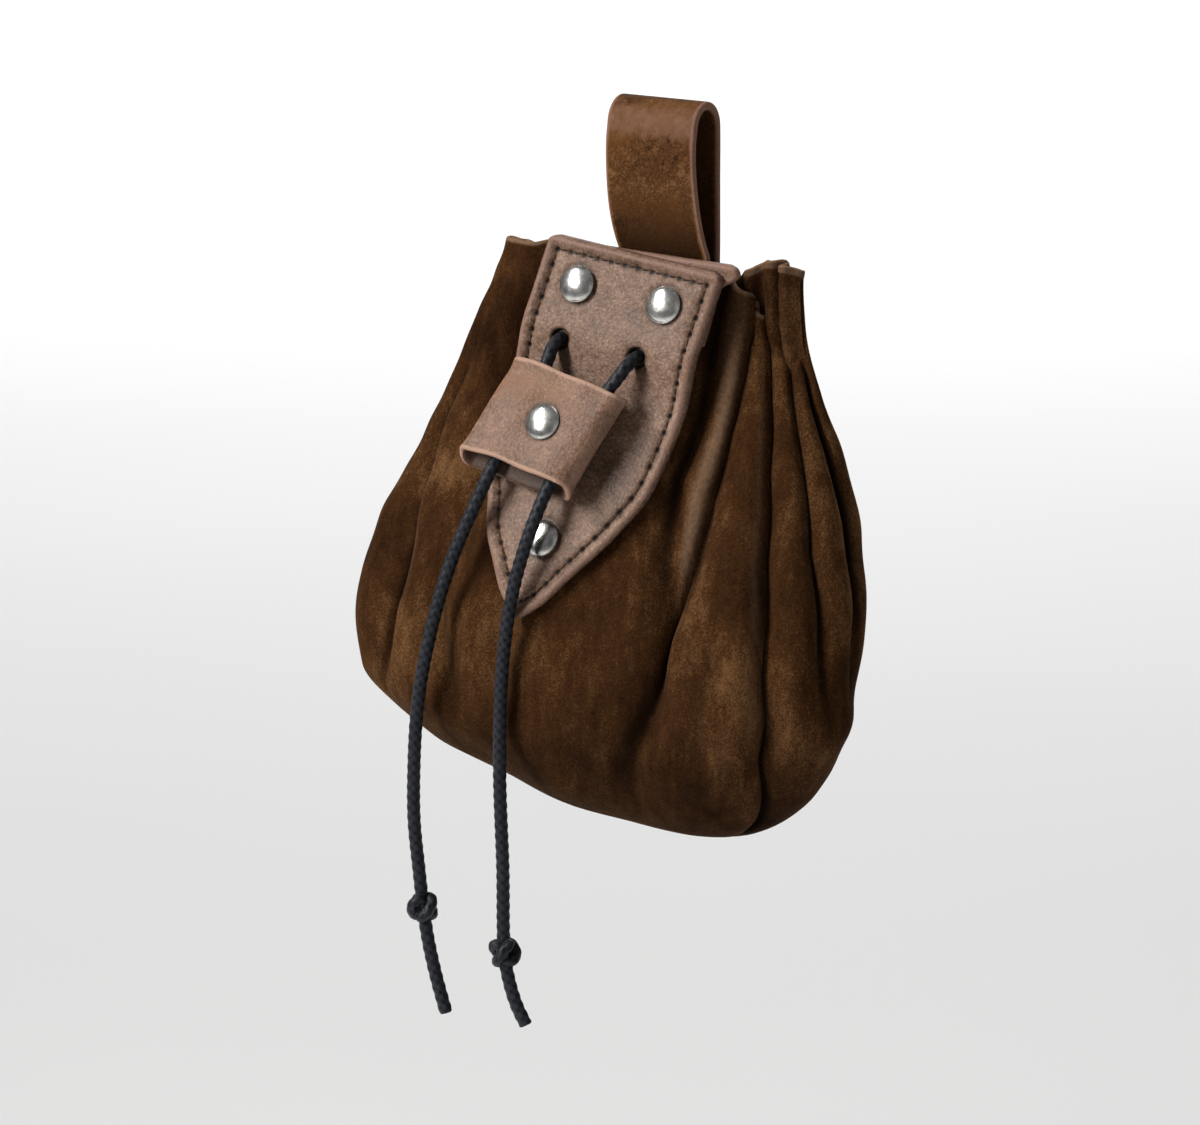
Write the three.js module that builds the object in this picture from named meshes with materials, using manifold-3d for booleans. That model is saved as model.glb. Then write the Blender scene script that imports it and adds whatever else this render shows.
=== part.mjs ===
// Medieval belt pouch: a gathered suede bag that hangs from a leather belt loop. A riveted leather
// plate lies on the bag's front, and a waxed drawstring leaves it through two holes, runs through a
// folded keeper and ends in two knotted tails. Millimetres, +Z up, front towards -Y. The origin is
// at the inside top of the loop that the pouch hangs by.

import * as THREE from 'three';
import { mergeVertices } from 'three/addons/utils/BufferGeometryUtils.js';
import Module from 'manifold-3d';

const wasm = await Module();
wasm.setup();

// Driving dimensions
const FIT = 0.3; // gap between pieces that rest on each other
const BAG_HEIGHT = 122; // mouth to the lowest point
const BAG_WIDTH = 122; // the widths below are shares of this
const BAG_DEPTH = 50.4;
const BAG_WALL = 1.6;
const FOLD_DEPTH = 4.4; // deepest crease between two pleats
const MOUTH_BELOW_PLATE = 2; // the bag's rim lies this far below the plate's top edge
const POUCH_TILT = 7; // degrees, the bag and plate lean as they hang
const POUCH_SHIFT = 3; // and the plate's middle lies this far right of the loop's
const PLATE_WIDTH = 44;
const PLATE_LENGTH = 78; // height from the top edge to the tip
const PLATE_WALL = 1.8;
const PATCH_WALL = 1.5;
const PATCH_HEIGHT = 16;
const PATCH_INSET = 1; // the patch hides this far inside the plate's left edge
const PATCH_OVERHANG = 2.6; // and shows past its right edge
const PATCH_RISE = 1.2; // and above its top edge
const PLATE_SETTLE = [0.5, 16]; // below the patch the plate comes down to the bag between these
const STRAP_WIDTH = 22;
const STRAP_WALL = 1.8;
const LOOP_GAP = 8.4; // clear depth inside the loop's rounded top
const LOOP_DROP = 30; // loop's inside top down to the plate's top edge
const LOOP_LEAN = 7.3; // the strap's front leg shifts this far sideways on its way down
const LEAN_POWER = 1.5; // over 1, most of that shift comes low down
const BACK_LEG = 76; // length of the strap's straight leg behind the bag
const TUCK = 14; // length of the strap's end behind the plate
const RIVET_HEAD = 4.1; // radius
const RIVET_DOME = 1.5;
const RIVET_RIM = 0.4; // height of the head's straight edge
const RIVET_SHANK = 1.2; // radius
const RIVET_TAIL = 2.6; // radius of the clenched end inside the bag
const RIVET_TAIL_HEIGHT = 0.8;
const CORD_DIAMETER = 3;
const CORD_HOLE = 2.6; // radius of the holes that the drawstring leaves through
const CORD_HOLE_DROP = 21; // below the plate's top edge
const KEEPER_WIDTH = 29;
const KEEPER_HEIGHT = 23;
const KEEPER_WALL = 1.5;
const KEEPER_GAP = 4.2; // clear height inside the folded keeper
const KEEPER_TURN = 5; // degrees, its foot swings towards the bag's left
const KEEPER_SKEW = 0.15; // and its sides lean that way by this share of its height
const KEEPER_RIVET_OFFSET = 1.6; // its rivet lies this far right of its middle
const KEEPER_LIFT = 1.9; // its middle clears the plate's bulge by this much
const KNOT_RADIUS = 3.5;
const KNOT_HEIGHT = 7;
const KNOT_SLACK = 0.5; // round the cord inside its knot
const STRING_SAG = 4.5; // the drawstring's stretch at the back hangs this far below the holes

// How finely the faceted solids are cut
const AROUND_BAG = 80;
const DOWN_BAG = 14;
const BAG_CROWDING = 1.35; // over 1, the bag's rows stand closer together low down
const RIVET_SIDES = 12;
const CORD_SIDES = 8;
const CORD_STEPS = 28;
const STRING_STEPS = 36;

// How far the drills run, well past the walls that they cut
const RIVET_DRILL = 30;
const CORD_DRILL = 14;
const BACK_DRILL = 20;

const backPlane = LOOP_GAP / 2 - FIT;
const cordRadius = CORD_DIAMETER / 2;
const degrees = THREE.MathUtils.degToRad;

// The bag's sections from the mouth down. Drop is a share of the height, left and right of the
// width, front and back of the depth forward of the back plane. Square is the section's superellipse
// exponent, and fold the share of the crease depth there.
const SECTIONS = [
  { drop: 0, left: 0.318, right: 0.3, front: 0.296, back: 0.107, square: 0.62, fold: 0.3 },
  { drop: 0.08, left: 0.324, right: 0.322, front: 0.36, back: 0.105, square: 0.68, fold: 0.42 },
  { drop: 0.17, left: 0.34, right: 0.369, front: 0.45, back: 0.1, square: 0.76, fold: 0.6 },
  { drop: 0.27, left: 0.366, right: 0.43, front: 0.565, back: 0.02, square: 0.84, fold: 0.85 },
  { drop: 0.4, left: 0.403, right: 0.5, front: 0.725, back: 0, square: 0.9, fold: 1 },
  { drop: 0.55, left: 0.439, right: 0.55, front: 0.886, back: 0, square: 0.95, fold: 0.85 },
  { drop: 0.7, left: 0.462, right: 0.561, front: 0.99, back: 0, square: 0.95, fold: 0.6 },
  { drop: 0.82, left: 0.435, right: 0.525, front: 1, back: 0.018, square: 0.95, fold: 0.4 },
  { drop: 0.91, left: 0.305, right: 0.465, front: 0.905, back: 0.09, square: 0.95, fold: 0.25 },
  { drop: 0.965, left: 0.11, right: 0.39, front: 0.765, back: 0.22, square: 0.97, fold: 0.12 },
  { drop: 0.992, left: -0.05, right: 0.28, front: 0.61, back: 0.37, square: 1, fold: 0 },
  { drop: 1, left: -0.16, right: 0.16, front: 0.49, back: 0.49, square: 1, fold: 0 },
];

// Creases between the pleats: where they stand round the mouth, in degrees from the bag's right
// with the front at 270, how wide they are, how deep as a share, and how far down they run.
const CREASES = [
  { at: 303, width: 6, depth: 0.7, reach: 0.75 },
  { at: 318, width: 5, depth: 0.9, reach: 1.1 },
  { at: 333, width: 5, depth: 1, reach: 0.8 },
  { at: 346, width: 5, depth: 0.9, reach: 1.2 },
  { at: 0, width: 5, depth: 0.9, reach: 0.9 },
  { at: 15, width: 6, depth: 0.9, reach: 1.1 },
  { at: 33, width: 6, depth: 0.7, reach: 0.8 },
  { at: 52, width: 7, depth: 0.6, reach: 0.9 },
  { at: 122, width: 7, depth: 0.6, reach: 0.9 },
  { at: 142, width: 6, depth: 0.7, reach: 0.8 },
  { at: 160, width: 6, depth: 0.9, reach: 1.1 },
  { at: 176, width: 5, depth: 0.9, reach: 0.8 },
  { at: 192, width: 5, depth: 1, reach: 1.1 },
  { at: 208, width: 6, depth: 0.9, reach: 0.8 },
  { at: 226, width: 6, depth: 0.6, reach: 0.7 },
];

// The plate's half width down its length, as shares: parallel sides and then a pointed arch
const PLATE_OUTLINE = [
  { drop: 0, left: 0.515, right: 0.48 },
  { drop: 0.25, left: 0.543, right: 0.448 },
  { drop: 0.45, left: 0.557, right: 0.438 },
  { drop: 0.6, left: 0.545, right: 0.41 },
  { drop: 0.72, left: 0.462, right: 0.31 },
  { drop: 0.8, left: 0.408, right: 0.215 },
  { drop: 0.87, left: 0.325, right: 0.12 },
  { drop: 0.94, left: 0.24, right: 0.03 },
  { drop: 1, left: 0.125, right: -0.08 },
];

// Rivets on the plate: across from its centre line as a share of its width, and down as a share
const PLATE_RIVETS = [
  { name: 'rivet_top_left', across: -0.285, drop: 0.115 },
  { name: 'rivet_top_right', across: 0.21, drop: 0.115 },
  { name: 'rivet_tip', across: -0.08, drop: 0.78 },
];

// Where the drawstring leaves the plate, as shares of its width from the centre line
const HOLE_LEFT = -0.31;
const HOLE_RIGHT = 0.13;

// Where the keeper lies on the plate: across as a share of the plate's width, down of its length
const KEEPER_AT = { across: -0.2, drop: 0.51 };

// The free cords' routes, from inside the plate's holes through the keeper to their tips
const CORD_ROUTES = [
  {
    name: 'cord_left', knot: 'knot_left', knotAt: 15,
    points: [
      [-13.2, -20.5, -49.2], [-13.2, -23.2, -49.4], [-13.2, -25.4, -50.4], [-13.3, -27.0, -52.4],
      [-13.8, -28.7, -55.8], [-17.0, -33.4, -65.1], [-20.5, -38.3, -74.8], [-24.0, -40.9, -84.2],
      [-28.3, -42.7, -95.4], [-31.4, -44.4, -106.7], [-34.0, -45.8, -119.7], [-35.6, -46.2, -131.2],
      [-36.3, -46.3, -144.0], [-36.3, -46.2, -155.0], [-35.2, -46.0, -166.0], [-34.2, -46.0, -174.0],
      [-32.9, -46.0, -181.5], [-31.0, -46.0, -189.0], [-28.4, -46.0, -197.2],
    ],
  },
  {
    name: 'cord_right', knot: 'knot_right', knotAt: 15,
    points: [
      [6.1, -20.8, -51.4], [6.1, -23.6, -51.6], [5.8, -26.4, -52.8], [4.7, -28.4, -55.2],
      [3.1, -29.8, -57.8], [1.2, -31.0, -60.4], [-2.6, -35.5, -69.4], [-6.0, -40.5, -78.9],
      [-7.2, -43.2, -84.4], [-8.9, -44.8, -90.8], [-10.7, -46.2, -98.8], [-12.1, -47.4, -109.0],
      [-13.0, -48.2, -122.0], [-13.3, -48.4, -141.0], [-12.6, -48.3, -162.0], [-12.3, -48.2, -181.0],
      [-11.2, -48.2, -187.0], [-9.3, -48.2, -192.4], [-6.8, -48.2, -196.8],
    ],
  },
];

// The drawstring's loop: its angles round the mouth, in degrees
const STRING_ARC = { from: 206, to: -32, step: 14 };

// How the drawstring turns from a hole in the bag's front to run along the mouth: sideways, inwards
const STRING_TURN = [[0, -FIT], [0, 1.4], [0.5, 3.1], [2.2, 4.9], [5.0, 6.0], [9.0, 6.2]];

/** A column of a table at a share of the way down, on a smooth curve through its rows. */
function column(table, name, drop) {
  let k = 0;
  while (k < table.length - 2 && table[k + 1].drop < drop) k++;
  const rise = (i) => (table[i + 1][name] - table[i][name]) / (table[i + 1].drop - table[i].drop);
  const slope = (i) => {
    if (i === 0) return rise(0);
    if (i === table.length - 1) return rise(i - 1);
    const [before, after] = [rise(i - 1), rise(i)];
    return before * after > 0 ? (2 * before * after) / (before + after) : 0;
  };
  const [a, b] = [table[k], table[k + 1]];
  const span = b.drop - a.drop;
  const t = THREE.MathUtils.clamp((drop - a.drop) / span, 0, 1);
  const [t2, t3] = [t * t, t * t * t];
  return a[name] * (2 * t3 - 3 * t2 + 1) + slope(k) * span * (t3 - 2 * t2 + t)
    + b[name] * (3 * t2 - 2 * t3) + slope(k + 1) * span * (t3 - t2);
}

/** The bag's unfolded section at a share of its height, as a superellipse. */
function section(drop) {
  const left = -BAG_WIDTH * column(SECTIONS, 'left', drop);
  const right = BAG_WIDTH * column(SECTIONS, 'right', drop);
  const front = backPlane - BAG_DEPTH * column(SECTIONS, 'front', drop);
  const back = backPlane - BAG_DEPTH * column(SECTIONS, 'back', drop);
  return {
    centreX: (left + right) / 2, halfX: (right - left) / 2,
    centreY: (front + back) / 2, halfY: (back - front) / 2,
    square: column(SECTIONS, 'square', drop), z: -MOUTH_BELOW_PLATE - BAG_HEIGHT * drop,
  };
}

/** A point of a section at an angle, set in along its own normal. */
function onSection(s, angle, inset) {
  const [c, n] = [Math.cos(angle), Math.sin(angle)];
  const power = (v, e) => Math.sign(v) * Math.abs(v) ** e;
  const x = s.centreX + s.halfX * power(c, s.square);
  const y = s.centreY + s.halfY * power(n, s.square);
  const normal = new THREE.Vector2(
    power(c, 2 - s.square) / Math.max(s.halfX, 1),
    power(n, 2 - s.square) / Math.max(s.halfY, 1),
  ).normalize();
  const depth = Math.min(inset, 0.9 * s.halfX, 0.9 * s.halfY);
  return new THREE.Vector3(x - normal.x * depth, y - normal.y * depth, s.z);
}

/** How deep the creases cut in at an angle round the bag. */
function foldAt(angle, drop) {
  const turn = THREE.MathUtils.radToDeg(angle);
  let depth = 0;
  for (const crease of CREASES) {
    const apart = THREE.MathUtils.euclideanModulo(turn - crease.at + 180, 360) - 180;
    const fade = 1 - THREE.MathUtils.smoothstep(drop, 0.55 * crease.reach, crease.reach);
    depth += crease.depth * fade * Math.exp(-((apart / crease.width) ** 2));
  }
  return FOLD_DEPTH * column(SECTIONS, 'fold', drop) * depth;
}

/** The bag's smooth front or back at a place across and down: side is -1 for the front. */
function bagSide(x, z, side) {
  const drop = THREE.MathUtils.clamp((-z - MOUTH_BELOW_PLATE) / BAG_HEIGHT, 0, 1);
  const s = section(drop);
  const across = Math.min(Math.abs((x - s.centreX) / s.halfX), 1);
  return s.centreY + side * s.halfY * (1 - across ** (2 / s.square)) ** (s.square / 2);
}
const bagFront = (x, z) => bagSide(x, z, -1);
const bagBack = (x, z) => bagSide(x, z, 1);

/** A closed wall between an outer and an inner surface, both worked out on one grid. */
function shell(across, down, outer, inner, { wrap = false, pole = false } = {}) {
  const points = [];
  const faces = [];
  const columns = wrap ? across : across + 1;
  const index = (side, i, j) => side * columns * (down + 1) + (i % columns) * (down + 1) + j;
  for (const surface of [outer, inner]) {
    for (let i = 0; i < columns; i++) {
      for (let j = 0; j <= down; j++) points.push(surface(i / across, j / down));
    }
  }
  const quad = (a, b, c, d) => faces.push([a, b, c], [a, c, d]);
  for (let i = 0; i < across; i++) {
    for (let j = 0; j < down; j++) {
      quad(index(0, i, j), index(0, i, j + 1), index(0, i + 1, j + 1), index(0, i + 1, j));
      quad(index(1, i, j), index(1, i + 1, j), index(1, i + 1, j + 1), index(1, i, j + 1));
    }
    quad(index(0, i, 0), index(0, i + 1, 0), index(1, i + 1, 0), index(1, i, 0));
    if (!pole) {
      quad(index(0, i, down), index(1, i, down), index(1, i + 1, down), index(0, i + 1, down));
    }
  }
  for (let j = 0; j < down && !wrap; j++) {
    quad(index(0, 0, j), index(1, 0, j), index(1, 0, j + 1), index(0, 0, j + 1));
    quad(index(0, across, j), index(0, across, j + 1), index(1, across, j + 1), index(1, across, j));
  }
  const geometry = new THREE.BufferGeometry();
  geometry.setAttribute('position', new THREE.Float32BufferAttribute(points.flatMap((p) => p.toArray()), 3));
  geometry.setIndex(faces.flat());
  return welded(geometry);
}

/** The same geometry with shared corners merged and the triangles that have no area left out. */
function welded(geometry) {
  for (const name of ['normal', 'uv']) geometry.deleteAttribute(name);
  const merged = mergeVertices(geometry, 1e-4);
  const kept = [];
  const order = merged.index.array;
  for (let k = 0; k < order.length; k += 3) {
    const [a, b, c] = order.subarray(k, k + 3);
    if (a !== b && b !== c && c !== a) kept.push(a, b, c);
  }
  merged.setIndex(kept);
  return merged;
}

/** A geometry as a solid that can be cut. */
function toSolid(geometry) {
  const clean = welded(geometry.clone());
  const mesh = new wasm.Mesh({
    numProp: 3,
    vertProperties: new Float32Array(clean.attributes.position.array),
    triVerts: new Uint32Array(clean.index.array),
  });
  return new wasm.Manifold(mesh);
}

/** A geometry with others cut away from it. */
function cut(geometry, cutters) {
  let solid = toSolid(geometry);
  for (const cutter of cutters) solid = solid.subtract(toSolid(cutter));
  const { vertProperties, triVerts } = solid.getMesh();
  const result = new THREE.BufferGeometry();
  result.setAttribute('position', new THREE.BufferAttribute(vertProperties, 3));
  result.setIndex(new THREE.BufferAttribute(triVerts, 1));
  return result;
}

/** How far the plate stands off the bag: its top rides over the strap's end and the patch. */
function plateStandoff(z) {
  const layers = STRAP_WALL + PATCH_WALL + 2 * FIT;
  const [start, end] = PLATE_SETTLE.map((below) => PATCH_HEIGHT + below);
  return FIT + layers * (1 - THREE.MathUtils.smoothstep(-z, start, end));
}

/** The plate's outer surface at a place across and down. */
function plateFront(x, z) {
  return bagFront(x, z) - plateStandoff(z) - PLATE_WALL;
}

/** A frame on the plate at a place given in shares, with its own Z out of the surface. */
function plateFrame(across, drop, lift = 0) {
  const [x, z] = [PLATE_WIDTH * across, -PLATE_LENGTH * drop];
  const step = 2;
  const right = new THREE.Vector3(2 * step, plateFront(x + step, z) - plateFront(x - step, z), 0).normalize();
  const down = new THREE.Vector3(0, plateFront(x, z - step) - plateFront(x, z + step), -2 * step);
  const out = down.clone().cross(right).normalize();
  const up = out.clone().cross(right);
  const frame = new THREE.Matrix4().makeBasis(right, up, out);
  const place = new THREE.Vector3(x, plateFront(x, z), z).addScaledVector(out, lift);
  return frame.setPosition(place);
}

/** A cylinder along a frame's Z, reaching both ways from its origin. */
function drill(frame, radius, length) {
  const bit = new THREE.CylinderGeometry(radius, radius, length, RIVET_SIDES);
  return bit.rotateX(Math.PI / 2).applyMatrix4(frame);
}

/** A rivet: a domed head, a shank of a given length and a flat clenched end if it has a radius. */
function rivet(shank, tail) {
  const dome = [];
  for (let k = 4; k >= 1; k--) {
    const turn = (Math.PI / 2) * (k / 4);
    const height = RIVET_RIM + (RIVET_DOME - RIVET_RIM) * Math.sin(turn);
    dome.push(new THREE.Vector2(RIVET_HEAD * Math.cos(turn), height));
  }
  dome[0].x = 0;
  const profile = [
    ...dome,
    new THREE.Vector2(RIVET_HEAD, RIVET_RIM),
    new THREE.Vector2(RIVET_HEAD, 0),
    new THREE.Vector2(RIVET_SHANK, 0),
    new THREE.Vector2(RIVET_SHANK, -shank),
  ];
  if (tail > 0) {
    profile.push(new THREE.Vector2(tail, -shank));
    profile.push(new THREE.Vector2(tail, -shank - RIVET_TAIL_HEIGHT));
    profile.push(new THREE.Vector2(0, -shank - RIVET_TAIL_HEIGHT));
  } else {
    profile.push(new THREE.Vector2(0, -shank));
  }
  const geometry = new THREE.LatheGeometry(profile.reverse(), RIVET_SIDES);
  return welded(geometry.rotateX(Math.PI / 2));
}

/** A round cord along a list of points. */
function cord(points, steps) {
  const corners = [];
  for (let k = 0; k < CORD_SIDES; k++) {
    const turn = (2 * Math.PI * k) / CORD_SIDES;
    corners.push(new THREE.Vector2(cordRadius * Math.cos(turn), cordRadius * Math.sin(turn)));
  }
  const extrudePath = new THREE.CatmullRomCurve3(points, false, 'centripetal');
  return welded(new THREE.ExtrudeGeometry(new THREE.Shape(corners), { steps, extrudePath }));
}

const leather = { color: 0x6e4a38, roughness: 0.6, metalness: 0 };
const suede = { color: 0x3b2413, roughness: 0.95, metalness: 0 };
const nickel = { color: 0xb8b8b4, roughness: 0.25, metalness: 1 };
const waxed = { color: 0x15161a, roughness: 0.5, metalness: 0 };

/** A named mesh of a geometry and a finish. */
function piece(name, geometry, finish) {
  const mesh = new THREE.Mesh(geometry, new THREE.MeshStandardMaterial(finish));
  mesh.name = name;
  return mesh;
}

const part = new THREE.Group();
const pouch = new THREE.Group();
pouch.position.set(POUCH_SHIFT, 0, -LOOP_DROP);
pouch.rotation.y = degrees(POUCH_TILT);
pouch.updateMatrix();
part.add(pouch);

// Rivets and the holes they need
const rivets = PLATE_RIVETS.map(({ name, across, drop }) => {
  const shank = PLATE_WALL + plateStandoff(-PLATE_LENGTH * drop) + BAG_WALL + 3 * FIT;
  return { name, shank, frame: plateFrame(across, drop, FIT) };
});
const rivetDrills = rivets.map(({ frame }) => drill(frame, RIVET_SHANK + FIT, RIVET_DRILL));
for (const { name, shank, frame } of rivets) {
  const mesh = piece(name, rivet(shank, RIVET_TAIL), nickel);
  mesh.applyMatrix4(frame);
  pouch.add(mesh);
}

// Holes that the drawstring leaves through, in the plate and in the bag's front
const cordDrills = [HOLE_LEFT, HOLE_RIGHT].map((across) =>
  drill(plateFrame(across, CORD_HOLE_DROP / PLATE_LENGTH), CORD_HOLE, CORD_DRILL));

// Strap: up behind the bag, round the loop's top and down to a tuck behind the plate
const outerTurn = LOOP_GAP / 2;
const toPouch = pouch.matrix.clone().invert();
const tuckEnd = -LOOP_DROP - TUCK;
function strapPoint(along, across, lift) {
  const lengths = [BACK_LEG - outerTurn, Math.PI * outerTurn, -tuckEnd - outerTurn];
  const total = lengths[0] + lengths[1] + lengths[2];
  let travel = along * total;
  const offset = (across - 0.5) * STRAP_WIDTH;
  if (travel <= lengths[0]) {
    return new THREE.Vector3(offset, outerTurn + lift, -BACK_LEG + travel);
  }
  travel -= lengths[0];
  if (travel <= lengths[1]) {
    const turn = travel / outerTurn;
    const radius = outerTurn + lift;
    return new THREE.Vector3(offset, radius * Math.cos(turn), radius * Math.sin(turn) - outerTurn);
  }
  travel -= lengths[1];
  const z = -outerTurn - travel;
  const down = THREE.MathUtils.clamp((-z - outerTurn) / (LOOP_DROP - outerTurn), 0, 1);
  const x = offset + LOOP_LEAN * down ** LEAN_POWER;
  const mouth = new THREE.Vector3(x, 0, Math.min(z, -LOOP_DROP - MOUTH_BELOW_PLATE)).applyMatrix4(toPouch);
  const rest = bagFront(mouth.x, mouth.z) - FIT;
  const blend = THREE.MathUtils.smoothstep(down, 0, 1);
  return new THREE.Vector3(x, -outerTurn * (1 - blend) + rest * blend - lift, z);
}
const strapWall = shell(
  48, 4,
  (u, v) => strapPoint(u, 1 - v, STRAP_WALL),
  (u, v) => strapPoint(u, 1 - v, 0),
);
const strapDrills = rivetDrills.map((bit) => bit.clone().applyMatrix4(pouch.matrix));

// One plain rivet holds the strap's lower end to the bag's back
const backSeat = new THREE.Vector3(0, outerTurn + STRAP_WALL + FIT, -BACK_LEG + STRAP_WIDTH / 3);
const backFrame = new THREE.Matrix4().makeRotationX(-Math.PI / 2).setPosition(backSeat);
const backDrill = drill(backFrame, RIVET_SHANK + FIT, BACK_DRILL);
const seatOnBag = backSeat.clone().applyMatrix4(toPouch);
const backShank = backSeat.y - bagBack(seatOnBag.x, seatOnBag.z) + BAG_WALL + 2 * FIT;
const backRivet = piece('rivet_back', rivet(backShank, RIVET_TAIL), nickel);
backRivet.applyMatrix4(backFrame);
part.add(backRivet);
part.add(piece('belt_loop', cut(strapWall, [...strapDrills, backDrill]), leather));

// Bag
const bagSurface = (thickness) => (u, v) => {
  const drop = 1 - (1 - v) ** BAG_CROWDING;
  const angle = 2 * Math.PI * u;
  return onSection(section(drop), angle, foldAt(angle, drop) + thickness);
};
const bagInner = (u, v) => {
  const drop = (1 - (1 - v) ** BAG_CROWDING) * (1 - BAG_WALL / BAG_HEIGHT);
  const angle = 2 * Math.PI * u;
  const point = onSection(section(drop), angle, foldAt(angle, drop) + BAG_WALL);
  if (v === 1) point.set(section(1).centreX, section(1).centreY, point.z);
  return point;
};
const bagWall = shell(AROUND_BAG, DOWN_BAG, bagSurface(0), bagInner, { wrap: true, pole: true });
const backDrillOnBag = backDrill.clone().applyMatrix4(toPouch);
pouch.add(piece('bag', cut(bagWall, [...rivetDrills, ...cordDrills, backDrillOnBag]), suede));

// Plate and the patch behind its top edge
const plateSurface = (thickness) => (u, v) => {
  const left = -PLATE_WIDTH * column(PLATE_OUTLINE, 'left', v);
  const right = PLATE_WIDTH * column(PLATE_OUTLINE, 'right', v);
  const [x, z] = [THREE.MathUtils.lerp(left, right, u), -PLATE_LENGTH * v];
  return new THREE.Vector3(x, plateFront(x, z) + PLATE_WALL - thickness, z);
};
const plateWall = shell(12, 22, plateSurface(PLATE_WALL), plateSurface(0));
pouch.add(piece('front_plate', cut(plateWall, [...rivetDrills, ...cordDrills]), leather));

const patchSurface = (thickness) => (u, v) => {
  const x = THREE.MathUtils.lerp(PATCH_INSET - PLATE_WIDTH / 2, PLATE_WIDTH / 2 + PATCH_OVERHANG, u);
  const z = THREE.MathUtils.lerp(PATCH_RISE, -PATCH_HEIGHT, v);
  return new THREE.Vector3(x, bagFront(x, z) - 2 * FIT - STRAP_WALL - thickness, z);
};
const patchWall = shell(8, 6, patchSurface(PATCH_WALL), patchSurface(0));
pouch.add(piece('backing_patch', cut(patchWall, rivetDrills), leather));

// Keeper: a flattened leather tube with a rivet between its two channels
const keeperFrame = plateFrame(KEEPER_AT.across, KEEPER_AT.drop, KEEPER_LIFT + KEEPER_GAP / 2 + KEEPER_WALL);
keeperFrame.multiply(new THREE.Matrix4().makeRotationZ(degrees(-KEEPER_TURN)));
const keeperSurface = (thickness) => (u, v) => {
  const radius = KEEPER_GAP / 2 + thickness;
  const straight = KEEPER_WIDTH / 2 - KEEPER_GAP / 2 - KEEPER_WALL;
  const turn = 2 * Math.PI * u;
  const side = Math.cos(turn) >= 0 ? 1 : -1;
  return new THREE.Vector3(
    side * straight * Math.min(1, 1.6 * Math.abs(Math.cos(turn))) + radius * Math.cos(turn)
      + KEEPER_SKEW * KEEPER_HEIGHT * (v - 0.5),
    KEEPER_HEIGHT * (v - 0.5),
    radius * Math.sin(turn),
  );
};
const keeperWall = shell(28, 3, keeperSurface(KEEPER_WALL), keeperSurface(0), { wrap: true });
const keeperRivetSeat = new THREE.Vector3(KEEPER_RIVET_OFFSET, 0, KEEPER_GAP / 2 + KEEPER_WALL + FIT);
const keeperRivetFrame = new THREE.Matrix4().setPosition(keeperRivetSeat);
const keeper = new THREE.Group();
keeper.applyMatrix4(keeperFrame);
const keeperDrill = drill(keeperRivetFrame, RIVET_SHANK + FIT, RIVET_DRILL);
keeper.add(piece('cord_keeper', cut(keeperWall, [keeperDrill]), leather));
const keeperRivet = piece('rivet_keeper', rivet(KEEPER_GAP + 2 * KEEPER_WALL + FIT, 0), nickel);
keeperRivet.applyMatrix4(keeperRivetFrame);
keeper.add(keeperRivet);
pouch.add(keeper);

// Drawstring inside the mouth, clear of the creases' inner sides, with both ends in the front's
// holes. Its loop is a smaller section that sags from its ends towards the back.
const stringZ = -CORD_HOLE_DROP - FIT; // the holes slope down a little on their way in
const stringLoop = (angle) => {
  const power = (v, e) => Math.sign(v) * Math.abs(v) ** e;
  const z = stringZ - STRING_SAG * THREE.MathUtils.smoothstep(Math.sin(angle), -0.4, 0.4);
  const drop = (-z - MOUTH_BELOW_PLATE) / BAG_HEIGHT;
  const s = section(drop);
  const inset = BAG_WALL + FOLD_DEPTH * column(SECTIONS, 'fold', drop) + cordRadius + 2 * FIT;
  return new THREE.Vector3(
    s.centreX + (s.halfX - inset) * power(Math.cos(angle), s.square),
    s.centreY + (s.halfY - inset) * power(Math.sin(angle), s.square),
    z,
  );
};
const stringEnd = (across, side) => {
  const x = PLATE_WIDTH * across;
  const y = bagFront(x, stringZ);
  return STRING_TURN.map(([out, inwards]) => new THREE.Vector3(x + side * out, y + inwards, stringZ));
};
const stringPoints = stringEnd(HOLE_LEFT, -1);
for (let turn = STRING_ARC.from; turn >= STRING_ARC.to; turn -= STRING_ARC.step) {
  stringPoints.push(stringLoop(degrees(turn)));
}
stringPoints.push(...stringEnd(HOLE_RIGHT, 1).reverse());
pouch.add(piece('drawstring', cord(stringPoints, STRING_STEPS), waxed));

// Free cords, each with its knot
for (const { name, knot, knotAt, points } of CORD_ROUTES) {
  const places = points.map((p) => new THREE.Vector3(...p));
  part.add(piece(name, cord(places, CORD_STEPS), waxed));
  const curve = new THREE.CatmullRomCurve3(places, false, 'centripetal');
  const share = knotAt / (points.length - 1);
  const bore = cordRadius + KNOT_SLACK;
  const profile = [
    new THREE.Vector2(bore, -0.42 * KNOT_HEIGHT),
    new THREE.Vector2(0.8 * KNOT_RADIUS, -0.4 * KNOT_HEIGHT),
    new THREE.Vector2(KNOT_RADIUS, -0.15 * KNOT_HEIGHT),
    new THREE.Vector2(KNOT_RADIUS, 0.15 * KNOT_HEIGHT),
    new THREE.Vector2(0.8 * KNOT_RADIUS, 0.4 * KNOT_HEIGHT),
    new THREE.Vector2(bore, 0.42 * KNOT_HEIGHT),
  ];
  profile.push(profile[0].clone());
  const mesh = piece(knot, welded(new THREE.LatheGeometry(profile, RIVET_SIDES)), waxed);
  mesh.position.copy(curve.getPoint(share));
  mesh.quaternion.setFromUnitVectors(new THREE.Vector3(0, 1, 0), curve.getTangent(share));
  part.add(mesh);
}

export default part;
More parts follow.
